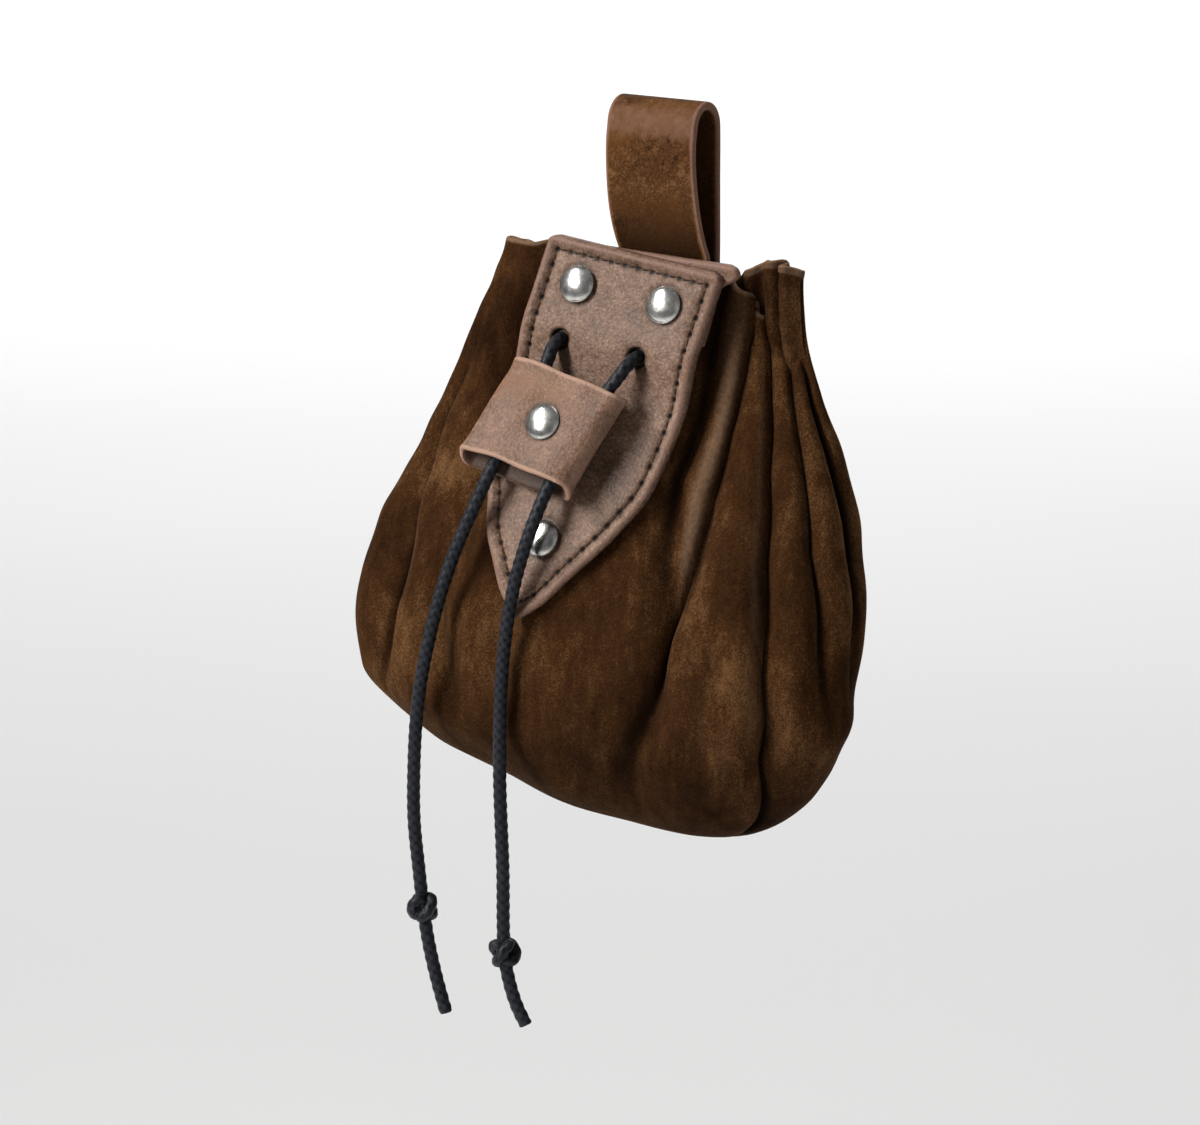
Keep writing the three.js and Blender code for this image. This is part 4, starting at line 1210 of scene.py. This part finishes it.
@dataclass
class BeltLoop:
    """The strap: up behind the bag, round the loop's top and down to a tuck behind the plate."""

    form: PouchForm
    width: float = 22.0
    wall: float = 1.8
    gap: float = 8.4
    lean: float = 7.3
    bulge: float = 1.1
    back_leg: float = 76.0
    tuck: float = 14.0
    steps: int = 210

    def place(self, along: np.ndarray, across: np.ndarray, lift: np.ndarray) -> np.ndarray:
        """Points of the strap: a straight back leg, a half circle and a front leg that leans.

        The front leg bulges by a sine over its upper part and comes down on the bag's front.

        Args:
            along: A share of the strap's length, from the back leg's foot.
            across: Distance across from its centre line.
            lift: Distance from its inner side.

        Returns:
            The points in the part's frame, in millimetres.
        """
        turn_r = self.gap / 2
        end = -self.form.hang - self.tuck
        lengths = (self.back_leg - turn_r, math.pi * turn_r, -end - turn_r)
        travel = along * sum(lengths)
        back = np.stack([across, turn_r + lift, -self.back_leg + travel], axis=-1)
        angle = (travel - lengths[0]) / turn_r
        reach = turn_r + lift
        arc = np.stack([across, reach * np.cos(angle), reach * np.sin(angle) - turn_r], axis=-1)
        z = -turn_r - (travel - lengths[0] - lengths[1])
        down = np.clip((-z - turn_r) / (self.form.hang - turn_r), 0, 1)
        x = across + self.lean * down**1.5
        low = np.minimum(z, -self.form.hang + self.form.rim)
        mouth = self.form.to_pouch(np.stack([x, 0 * x, low], axis=-1))
        rest = self.form.front(mouth[..., 0], mouth[..., 2]) - self.form.gap
        mix = smoothstep(down, 0, 1)
        bow = self.bulge * np.sin(np.pi * np.sqrt(down)) ** 2
        front = np.stack([x, -turn_r * (1 - mix) + rest * mix - bow - lift, z], axis=-1)
        on_back = (travel <= lengths[0])[..., None]
        on_arc = (travel <= lengths[0] + lengths[1])[..., None]
        return np.where(on_back, back, np.where(on_arc, arc, front))

    def build(self, material: bpy.types.Material) -> bpy.types.Object:
        """The strap: a rounded bar carried along its path, closed at both ends.

        Args:
            material: Its leather.

        Returns:
            The strap.
        """
        bar = rounded_bar(self.width, self.wall, 0.55, 34)
        along = np.linspace(0, 1, self.steps)
        taper = np.sqrt(np.clip(1 - (1 - np.clip(along * 180 / 5, 0, 1)) ** 2, 0, 1))
        a, offset = np.meshgrid(along, bar[:, 0], indexing="ij")
        lift = np.broadcast_to(bar[:, 1], a.shape)
        offset = offset * (0.72 + 0.28 * taper[:, None])
        points = self.place(a, offset, lift)
        sway = wander(points, 23, 31) * 0.12
        points = points + np.stack([0.5 * sway, 0 * sway, 0 * sway], axis=-1)
        edge = smoothstep(np.abs(offset), self.width / 2 - 0.9, self.width / 2 - 0.35)
        front_leg = smoothstep(a, 0.68, 0.92)
        # Painted highlight on the top of the bend.
        bend_highlight = 0.6 * hump(a - 0.672, 0.035)
        # Pale worn edges; on the outer face the painted highlight, and the front leg darker towards its foot.
        wear = edge + (1 - edge) * (bend_highlight - 0.8 * front_leg) * (lift > 0.9)
        # Painted shade on the strap's inner face.
        wear = wear - 0.5 * (1 - edge) * (lift < 0.5)
        skin = Skin()
        n = skin.add(points * MM, wear)
        skin.quads(n[:, ::-1], wrap_columns=True)
        for row, turned in ((0, False), (-1, True)):
            tip = skin.add(points[row].mean(axis=0)[None] * MM, 0.5)
            skin.fan(n[row], int(tip[0]), turned=turned)
        return fit(skin.solid("belt_strap", material), "strap_leather", "belt_loop")


@dataclass
class CordKeeper:
    """The folded leather tube that both cords run through."""

    form: PouchForm
    plate: FrontPlate
    across: float = -0.2
    drop: float = 0.51
    width: float = 29.0
    height: float = 23.0
    wall: float = 1.5
    gap: float = 4.2
    turn: float = math.radians(-5)
    skew: float = 0.15
    lift: float = 1.9
    slant: float = 2.4
    rivet_offset: float = 1.6

    def frame(self) -> tuple[np.ndarray, ...]:
        """The keeper's middle and its directions across, up and out, in the pouch frame."""
        lift = self.lift + self.gap / 2 + self.wall
        middle, right, up, out = self.form.plate_frame(
            self.plate.width * self.across, -self.plate.length * self.drop, lift)
        c, s = math.cos(self.turn), math.sin(self.turn)
        return middle, c * right + s * up, c * up - s * right, out

    def to_pouch(self, local: np.ndarray) -> np.ndarray:
        """Points across, up and out of the keeper in the pouch frame."""
        middle, right, up, out = self.frame()
        return middle + local @ np.stack([right, up, out])

    def build(self, material: bpy.types.Material) -> bpy.types.Object:
        """The keeper: a rounded bar, as long as the tube is high, carried round a flattened loop.

        The loop is a stadium: straight runs with half circles at both ends. The rivet draws the
        front layer in, and the layer bows out over each cord. The foot is cut aslant: the back
        layer reaches further down by the slant.

        Args:
            material: Its leather.

        Returns:
            The keeper.
        """
        radius = self.gap / 2
        straight = self.width / 2 - radius - self.wall
        angle = np.linspace(0, 2 * np.pi, 241)[:-1]
        dense = np.linspace(0, 2 * np.pi, 4001)
        side = np.where(np.cos(dense) >= 0, 1.0, -1.0)
        line = np.stack([
            side * straight * np.minimum(1, 1.6 * np.abs(np.cos(dense))) + radius * np.cos(dense),
            radius * np.sin(dense)], axis=1)
        travel = np.concatenate([[0], np.cumsum(np.linalg.norm(np.diff(line, axis=0), axis=1))])
        even = angle / (2 * np.pi) * travel[-1]
        loop = np.stack([np.interp(even, travel, line[:, k]) for k in (0, 1)], axis=1)
        ahead = unit(np.roll(loop, -1, axis=0) - np.roll(loop, 1, axis=0))
        out = np.stack([ahead[:, 1], -ahead[:, 0]], axis=1)
        bar = rounded_bar(self.height, self.wall, 0.6, 44)
        up, thick = bar[:, 0][None], bar[:, 1][None]
        flare = 0.35 * smoothstep(np.abs(up), 8.5, 11.5)
        x = loop[:, :1] + out[:, :1] * (thick + flare) + self.skew * up
        y = np.broadcast_to(up, x.shape)
        z = loop[:, 1:] + out[:, 1:] * (thick + flare)
        near = np.hypot(x - self.rivet_offset, y)
        front = smoothstep(z, 0.5, 1.8)
        bow = 0.55 * (hump(x - 7.6, 4.2) + hump(x + 6.6, 4.2)) - 0.75 * hump(near, 4.6)
        z = z + front * (bow + 0.12 * wander(np.stack([x, y, z], axis=-1), 9, 41))
        y = y + 0.35 * wander(np.stack([x, 0 * y, z], axis=-1), 14, 42) * smoothstep(np.abs(y), 6, 11)
        y = y - self.slant * smoothstep(-z, -2.6, 2.6) * smoothstep(-up, 3.0, 11.5)
        end = smoothstep(np.abs(up), self.height / 2 - 1.6, self.height / 2 - 0.3)
        fold = smoothstep(np.abs(loop[:, :1]), straight + 0.4, straight + 1.9)
        outer = thick > 0.9
        inside = np.broadcast_to(thick < 0.5, x.shape)
        # Pale worn ends, a painted highlight on the outer folded sides and a painted shadow round the rivet.
        wear = np.maximum(0.95 * end, 0.5 * fold * outer) - 0.5 * hump(near - 4.3, 0.6) * (z > 1)
        # Painted shade inside the tube.
        wear = np.where(inside, -0.6, wear)
        skin = Skin()
        n = skin.add(self.form.to_part(self.to_pouch(np.stack([x, y, z], axis=-1))) * MM, wear)
        skin.quads(n, wrap_rows=True, wrap_columns=True)
        return fit(skin.solid("folded_keeper", material), "keeper_leather", "cord_keeper")


# Rivets


@dataclass
class Rivet:
    """A capped rivet: a low dome with a small rim, a shank and a clenched end."""

    radius: float = 4.1
    dome: float = 1.5
    shank_radius: float = 1.2
    tail_radius: float = 2.6
    tail_height: float = 0.8
    sides: int = 48

    def profile(self, shank: float, tail: bool) -> np.ndarray:
        """The rivet's outline, out from the axis and up, from the dome's top to the tail's end.

        The dome is a flattened cap over a rim with a small radius: its height goes with 1 less the
        share of the radius squared, all to the 0.7.

        Args:
            shank: How far the shank reaches below the head.
            tail: True if its end is clenched.

        Returns:
            The outline's points.
        """
        t = np.sin(np.linspace(0.04, 1.5, 15))
        cap = np.stack([(self.radius - 0.18) * t, 0.36 + (self.dome - 0.36) * (1 - t**2) ** 0.7], axis=1)
        b = np.radians(np.linspace(60, -90, 6))
        rim = np.stack([self.radius - 0.2 + 0.2 * np.cos(b), 0.2 + 0.2 * np.sin(b)], axis=1)
        foot = [[self.shank_radius, 0], [self.shank_radius, -shank]]
        if tail:
            r, low = self.tail_radius, -shank - self.tail_height
            foot += [[r, -shank], [r, low + 0.2], [r - 0.2, low]]
        return np.vstack([cap, rim, foot])

    def build(self, name: str, node: str, place: tuple[np.ndarray, ...], shank: float, tail: bool,
              material: bpy.types.Material, form: PouchForm | None) -> bpy.types.Object:
        """The rivet turned round its axis.

        Args:
            name: The piece's name.
            node: The node that it stands for.
            place: Its seat, and the directions right, up and out there.
            shank: How long its shank is.
            tail: True if its end is clenched.
            material: Its metal.
            form: The pouch's form if the place is in the pouch frame.

        Returns:
            The rivet.
        """
        outline = self.profile(shank, tail)
        seat, right, up, out = place
        ring = np.linspace(0, 2 * np.pi, self.sides, endpoint=False)
        around = np.cos(ring)[:, None] * right + np.sin(ring)[:, None] * up
        grid = seat + outline[:, None, :1] * around[None] + outline[:, None, 1:] * out
        ends = np.stack([seat + out * self.dome, seat + out * outline[-1, 1]])
        if form is not None:
            grid, ends = form.to_part(grid), form.to_part(ends)
        # Painted shade on the rim's underside, the shank and the tail.
        wear = np.where(outline[:, 1] < 0.3, -0.8, 0.0)[:, None]
        skin = Skin()
        n = skin.add(grid * MM, wear)
        skin.quads(n, wrap_columns=True)
        tips = skin.add(ends * MM, 0.0)
        skin.fan(n[0], int(tips[0]), turned=False)
        skin.fan(n[-1], int(tips[1]), turned=True)
        return fit(skin.solid(name, material), "nickel", node)


# Cords


class Side(Enum):
    """Which of the two free cords."""

    LEFT = "left"
    RIGHT = "right"


# The free cords' routes, from inside the plate's holes through the keeper to their tips, in metres
ROUTES = {
    Side.LEFT: (
        (-0.0132, -0.0205, -0.0492), (-0.0132, -0.0232, -0.0494), (-0.0132, -0.0254, -0.0504),
        (-0.0133, -0.0270, -0.0524), (-0.0138, -0.0287, -0.0558), (-0.0170, -0.0334, -0.0651),
        (-0.0205, -0.0383, -0.0748), (-0.0240, -0.0409, -0.0842), (-0.0283, -0.0427, -0.0954),
        (-0.0314, -0.0444, -0.1067), (-0.0340, -0.0458, -0.1197), (-0.0356, -0.0462, -0.1312),
        (-0.0363, -0.0463, -0.1440), (-0.0363, -0.0462, -0.1550), (-0.0352, -0.0460, -0.1660),
        (-0.0342, -0.0460, -0.1740), (-0.0329, -0.0460, -0.1815), (-0.0310, -0.0460, -0.1890),
        (-0.0284, -0.0460, -0.1972),
    ),
    Side.RIGHT: (
        (0.0061, -0.0208, -0.0514), (0.0061, -0.0236, -0.0516), (0.0058, -0.0264, -0.0528),
        (0.0047, -0.0284, -0.0552), (0.0031, -0.0298, -0.0578), (0.0012, -0.0310, -0.0604),
        (-0.0026, -0.0355, -0.0694), (-0.0060, -0.0405, -0.0789), (-0.0072, -0.0432, -0.0844),
        (-0.0089, -0.0448, -0.0908), (-0.0107, -0.0462, -0.0988), (-0.0121, -0.0474, -0.1090),
        (-0.0130, -0.0482, -0.1220), (-0.0133, -0.0484, -0.1410), (-0.0126, -0.0483, -0.1620),
        (-0.0123, -0.0482, -0.1810), (-0.0112, -0.0482, -0.1870), (-0.0093, -0.0482, -0.1924),
        (-0.0068, -0.0482, -0.1968),
    ),
}
KNOT_AT = 15


@dataclass
class BraidedCord:
    """Black waxed braid: two families of strands that cross over and under each other."""

    material: bpy.types.Material
    diameter: float = 3.0 * MM
    strands: int = 4
    lay: float = 9.0 * MM
    height: float = 0.27 * MM
    around: int = 32
    step: float = 0.26 * MM

    def braid(self, turn: np.ndarray, along: np.ndarray) -> np.ndarray:
        """The strands' height at an angle and a distance along the cord, from 0 to 1.

        One family winds one way and one the other. In each family's own count a strand's middle
        is a whole number, its profile is a half circle, and it rises and dips with the cosine of
        the other family's count, so that the two take turns on top.

        Args:
            turn: Angles round the cord.
            along: Distances along it.

        Returns:
            The height.
        """
        winding = self.strands * along / self.lay
        a = turn * self.strands / (2 * np.pi) - winding
        b = turn * self.strands / (2 * np.pi) + winding
        near_a, near_b = np.round(a), np.round(b)
        over_a = np.cos(np.pi * (b + near_a))
        over_b = -np.cos(np.pi * (a + near_b))
        high_a = np.sqrt(np.clip(1 - (2 * (a - near_a)) ** 2, 0, 1)) + 0.45 * over_a
        high_b = np.sqrt(np.clip(1 - (2 * (b - near_b)) ** 2, 0, 1)) + 0.45 * over_b
        return np.clip(np.maximum(high_a, high_b) / 1.45, 0, 1)

    def tube(self, path: np.ndarray, name: str, closed: bool = False, thick: float = 1.0) -> bpy.types.Object:
        """A braided tube along a path.

        Args:
            path: The path's points, evenly spaced.
            name: The piece's name.
            closed: True if the path runs round to its start.
            thick: A factor on the diameter.

        Returns:
            The tube.
        """
        side, other = carried_frames(path, closed)
        turn = np.linspace(0, 2 * np.pi, self.around, endpoint=False)[None]
        travel = np.concatenate([[0], np.cumsum(np.linalg.norm(np.diff(path, axis=0), axis=1))])
        if closed:
            length = travel[-1] + np.linalg.norm(path[0] - path[-1])
            cells = max(2, 2 * round(length / self.lay * self.strands / 2))
            travel = travel * cells * self.lay / self.strands / length
        strands = self.braid(turn, travel[:, None])
        radius = thick * self.diameter / 2 - self.height * (1 - strands)
        if not closed:
            from_end = np.minimum(travel, travel[-1] - travel)[:, None]
            blunt = np.clip(from_end / (0.5 * MM), 0, 1)
            radius = radius * (0.72 + 0.28 * np.sqrt(1 - (1 - blunt) ** 2))
        ring = np.cos(turn)[..., None] * side[:, None] + np.sin(turn)[..., None] * other[:, None]
        grid = path[:, None] + radius[..., None] * ring
        skin = Skin()
        n = skin.add(grid, strands)
        skin.quads(n[:, ::-1], wrap_rows=closed, wrap_columns=True)
        if not closed:
            for row, turned in ((0, False), (-1, True)):
                tip = skin.add(path[row][None], 0.5)
                skin.fan(n[row], int(tip[0]), turned=turned)
        return skin.solid(name, self.material)

    def knot(self, middle: np.ndarray, axis: np.ndarray, name: str, spin: float) -> bpy.types.Object:
        """An overhand knot drawn tight: a trefoil round the cord.

        At t the trefoil lies (R + r cos 3t) from the axis at the angle 2t, and h sin 3t along it.

        Args:
            middle: The knot's middle.
            axis: The cord's direction there.
            name: The piece's name.
            spin: How far it is turned round the cord.

        Returns:
            The knot.
        """
        t = np.linspace(0, 2 * np.pi, 220, endpoint=False)
        out = (1.62 + 0.86 * np.cos(3 * t)) * MM
        turn = 2 * t + spin
        flat = np.stack([out * np.cos(turn), out * np.sin(turn), 1.9 * MM * np.sin(3 * t)], axis=1)
        first = unit(np.cross(axis, (0.0, 1.0, 0.0)))
        second = np.cross(axis, first)
        path = middle + flat @ np.stack([first, second, axis])
        return self.tube(path, name, closed=True, thick=0.86)

    def build_free(self, side: Side) -> None:
        """One free cord with its knot."""
        path = through(ROUTES[side], self.step)
        away = np.linalg.norm(path - np.array(ROUTES[side][KNOT_AT]), axis=1)
        k = int(away.argmin())
        name = side.value
        knot = self.knot(path[k], unit(path[k + 2] - path[k - 2]), f"overhand_knot_{name}",
                         0.4 if side is Side.LEFT else 1.3)
        fit(knot, "waxed_cord", f"knot_{name}")
        line = fit(self.tube(path, f"free_cord_{name}"), "waxed_cord", f"cord_{name}")


@dataclass
class GatheringString:
    """The cord's hidden stretch: round the inside of the mouth, with both ends in the front's holes."""

    form: PouchForm
    plate: FrontPlate
    wall: float = 1.6
    fold_depth: float = 4.4
    sag: float = 4.5
    clear_ends: float = 11.0
    turns: tuple[tuple[float, float], ...] = (
        (0, -0.3), (0, 1.4), (0.5, 3.1), (2.2, 4.9), (5.0, 6.0), (9.0, 6.2))
    fold_rows: tuple[tuple[float, ...], tuple[float, ...]] = ((0.08, 0.17, 0.27, 0.4), (0.42, 0.6, 0.85, 1))

    def route(self) -> np.ndarray:
        """The string's points in the part's frame, in metres: a loop between two ends.

        The loop is a smaller section, which sags towards the back and keeps clear of the deep
        creases at the bag's two ends.
        """
        form, z = self.form, -self.plate.hole_drop - self.form.gap
        a = np.radians(np.arange(206, -33, -14.0))
        c, n = np.cos(a), np.sin(a)
        height = z - self.sag * smoothstep(n, -0.4, 0.4)
        drop = (form.rim - height) / form.height
        s = form.section(drop)
        inset = self.wall + self.fold_depth * smooth_table(*self.fold_rows, drop) + 1.5 + 2 * form.gap
        half = s["hx"] - inset - self.clear_ends
        ring = np.stack([s["cx"] + half * np.sign(c) * np.abs(c) ** s["q"],
                         s["cy"] + (s["hy"] - inset) * np.sign(n) * np.abs(n) ** s["q"], height], axis=1)
        ends = []
        for share, way in zip(self.plate.holes, (-1, 1)):
            x = self.plate.width * share
            y = float(form.front(x, z))
            ends.append(np.array([[x + way * out, y + inwards, z] for out, inwards in self.turns]))
        return form.to_part(np.vstack([ends[0], ring, ends[1][::-1]])) * MM

    def build(self, braid: BraidedCord) -> bpy.types.Object:
        """The string as a braided tube."""
        path = through(self.route(), 0.5 * MM)
        return fit(braid.tube(path, "gathering_string"), "waxed_cord", "drawstring")


# Stage


@dataclass
class Studio:
    """The camera at the photograph's viewing angle, soft lights and a pale floor."""

    azimuth: float = math.radians(30)
    elevation: float = math.radians(12)
    distance: float = 2.6
    wide: float = 0.262
    middle: tuple[float, float, float] = (-0.0045, -0.02, -0.0985)

    def camera(self) -> None:
        """A long lens, far off, so that there is hardly any perspective."""
        data = bpy.data.cameras.new("camera")
        data.sensor_width = 36.0
        data.lens = data.sensor_width * self.distance / self.wide
        eye = bpy.data.objects.new("camera", data)
        bpy.context.scene.collection.objects.link(eye)
        a, e = self.azimuth, self.elevation
        back = np.array([math.sin(a) * math.cos(e), -math.cos(a) * math.cos(e), math.sin(e)])
        eye.location = np.array(self.middle) + back * self.distance
        eye.rotation_euler = (math.pi / 2 - e, 0.0, a)
        bpy.context.scene.camera = eye

    def lamp(self, name: str, place: Colour, size: float, power: float, colour: Colour,
             target: Colour | None = None, roll: float = 0.0) -> bpy.types.Light:
        """A square area light that faces the pouch, or a target, rolled by an angle."""
        data = bpy.data.lights.new(name, "AREA")
        data.size = size
        data.energy = power
        data.color = colour
        lamp = bpy.data.objects.new(name, data)
        bpy.context.scene.collection.objects.link(lamp)
        lamp.location = place
        way = np.array(target or self.middle) - np.array(place)
        across = math.hypot(way[0], way[1])
        heading = math.atan2(way[1], way[0]) - math.pi / 2
        pitch = math.pi / 2 + math.atan2(way[2], across)
        turns = ((heading, "Z"), (pitch, "X"), (roll, "Z"))
        first, second, third = (Matrix.Rotation(angle, 3, axis) for angle, axis in turns)
        lamp.rotation_euler = (first @ second @ third).to_euler()
        return data

    def floor(self) -> None:
        """A wide pale floor well below the cords' tips: a grid of radius and angle."""
        radius, turn = np.linspace(0.02, 14, 12), np.linspace(0, 2 * np.pi, 64, endpoint=False)
        x, y = radius[:, None] * np.cos(turn), radius[:, None] * np.sin(turn)
        bench = Bench("pale_floor")
        cloud = bench.noise(0.6, 2, 0.4)
        colour = bench.ramp(cloud, (0.3, (0.86, 0.86, 0.865)), (0.7, (0.9, 0.9, 0.9)))
        skin = Skin()
        n = skin.add(np.stack([x, y, np.full_like(x, -0.62)], axis=-1), 0.0)
        skin.quads(n, wrap_columns=True)
        tip = skin.add(np.array([[0.0, 0.0, -0.62]]), 0.0)
        skin.fan(n[0], int(tip[0]), turned=False)
        floor = skin.solid("studio_floor", bench.finish(colour, 0.9))

    def world(self) -> None:
        """A pale surround, a little darker low down, so that the metal has something to mirror."""
        world = bpy.data.worlds.new("surround")
        bpy.context.scene.world = world
        world.use_nodes = True
        tree = world.node_tree
        tree.nodes.clear()
        place = tree.nodes.new("ShaderNodeTexCoord")
        split = tree.nodes.new("ShaderNodeSeparateXYZ")
        ramp = tree.nodes.new("ShaderNodeValToRGB")
        sky = tree.nodes.new("ShaderNodeBackground")
        output = tree.nodes.new("ShaderNodeOutputWorld")
        tree.links.new(place.outputs["Generated"], split.inputs[0])
        tree.links.new(split.outputs["Z"], ramp.inputs["Fac"])
        tree.links.new(ramp.outputs["Color"], sky.inputs["Color"])
        tree.links.new(sky.outputs[0], output.inputs["Surface"])
        ramp.color_ramp.elements[0].position = 0.02
        ramp.color_ramp.elements[0].color = (0.75, 0.75, 0.76, 1)
        ramp.color_ramp.elements[1].position = 0.6
        ramp.color_ramp.elements[1].color = (1.0, 1.0, 1.0, 1)
        sky.inputs["Strength"].default_value = 0.22

    def build(self) -> None:
        """Camera, lights, floor and surround."""
        self.camera()
        key = self.lamp("key", (-0.8, -1.0, 0.85), 0.16, 37.0, (1.0, 0.985, 0.96), roll=math.radians(35))
        key.shape = "RECTANGLE"
        key.size_y = 1.3
        self.lamp("fill", (1.1, -0.9, 0.15), 0.9, 0.7, (0.97, 0.985, 1.0))
        self.lamp("top", (0.2, 0.75, 1.1), 0.8, 8.0, (1.0, 1.0, 1.0))
        self.lamp("backdrop", (-2.3, 4.0, 1.6), 3.0, 105.0, (1.0, 1.0, 1.0), (-2.3, 4.0, -0.62))
        self.floor()
        self.world()
        bpy.context.scene.view_settings.view_transform = "Standard"


def build_rivets(form: PouchForm, plate: FrontPlate, keeper: CordKeeper, loop: BeltLoop,
                 metal: bpy.types.Material) -> None:
    """The rivets that show on the plate and the keeper, and the plain one behind.

    Args:
        form: The pouch's form.
        plate: The plate that three of them hold.
        keeper: The keeper that one of them holds.
        loop: The strap that the last one holds.
        metal: Their finish.
    """
    rivet = Rivet()
    wall = 1.6
    for name, (share, drop) in zip(("top_left", "top_right", "tip"), plate.rivets):
        z = -plate.length * drop
        shank = form.plate_wall + float(form.stand_off(np.array(z))) + wall + 3 * form.gap
        place = form.plate_frame(plate.width * share, z, form.gap)
        rivet.build(f"nickel_rivet_{name}", f"rivet_{name}", place, shank, True, metal, form)
    _, right, up, out = keeper.frame()
    seat = keeper.to_pouch(np.array([keeper.rivet_offset, 0, keeper.gap / 2 + keeper.wall + form.gap - 0.3]))
    rivet.build("nickel_rivet_keeper", "rivet_keeper", (seat, right, up, out),
                keeper.gap + 2 * keeper.wall, False, metal, form)
    seat = np.array([0, loop.gap / 2 + loop.wall + form.gap, -loop.back_leg + loop.width / 3])
    at = form.to_pouch(seat)
    back = float(form.side(at[0], at[2], 1))
    place = (seat, np.array([1.0, 0, 0]), np.array([0, 0, -1.0]), np.array([0, 1.0, 0]))
    shank = seat[1] - back + wall + 2 * form.gap
    rivet.build("nickel_rivet_back", "rivet_back", place, shank, True, metal, None)


def main() -> None:
    """Builds the pouch round its frame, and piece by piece."""
    logging.basicConfig(level=logging.INFO, format="%(message)s")
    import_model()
    Studio().build()
    finishes = Finishes()
    form = PouchForm()
    plate = FrontPlate(form)
    keeper = CordKeeper(form, plate)
    loop = BeltLoop(form)
    braid = BraidedCord(finishes.braid)
    for side in Side:
        braid.build_free(side)
    GatheringString(form, plate).build(braid)
    GatheredBag(form).build(finishes.suede)
    plate.build(finishes.plate)
    plate.build_thread(finishes.thread)
    BackingPatch(form).build(finishes.plate)
    loop.build(finishes.strap)
    keeper.build(finishes.keeper)
    build_rivets(form, plate, keeper, loop, finishes.nickel)


if __name__ == "__main__":
    main()
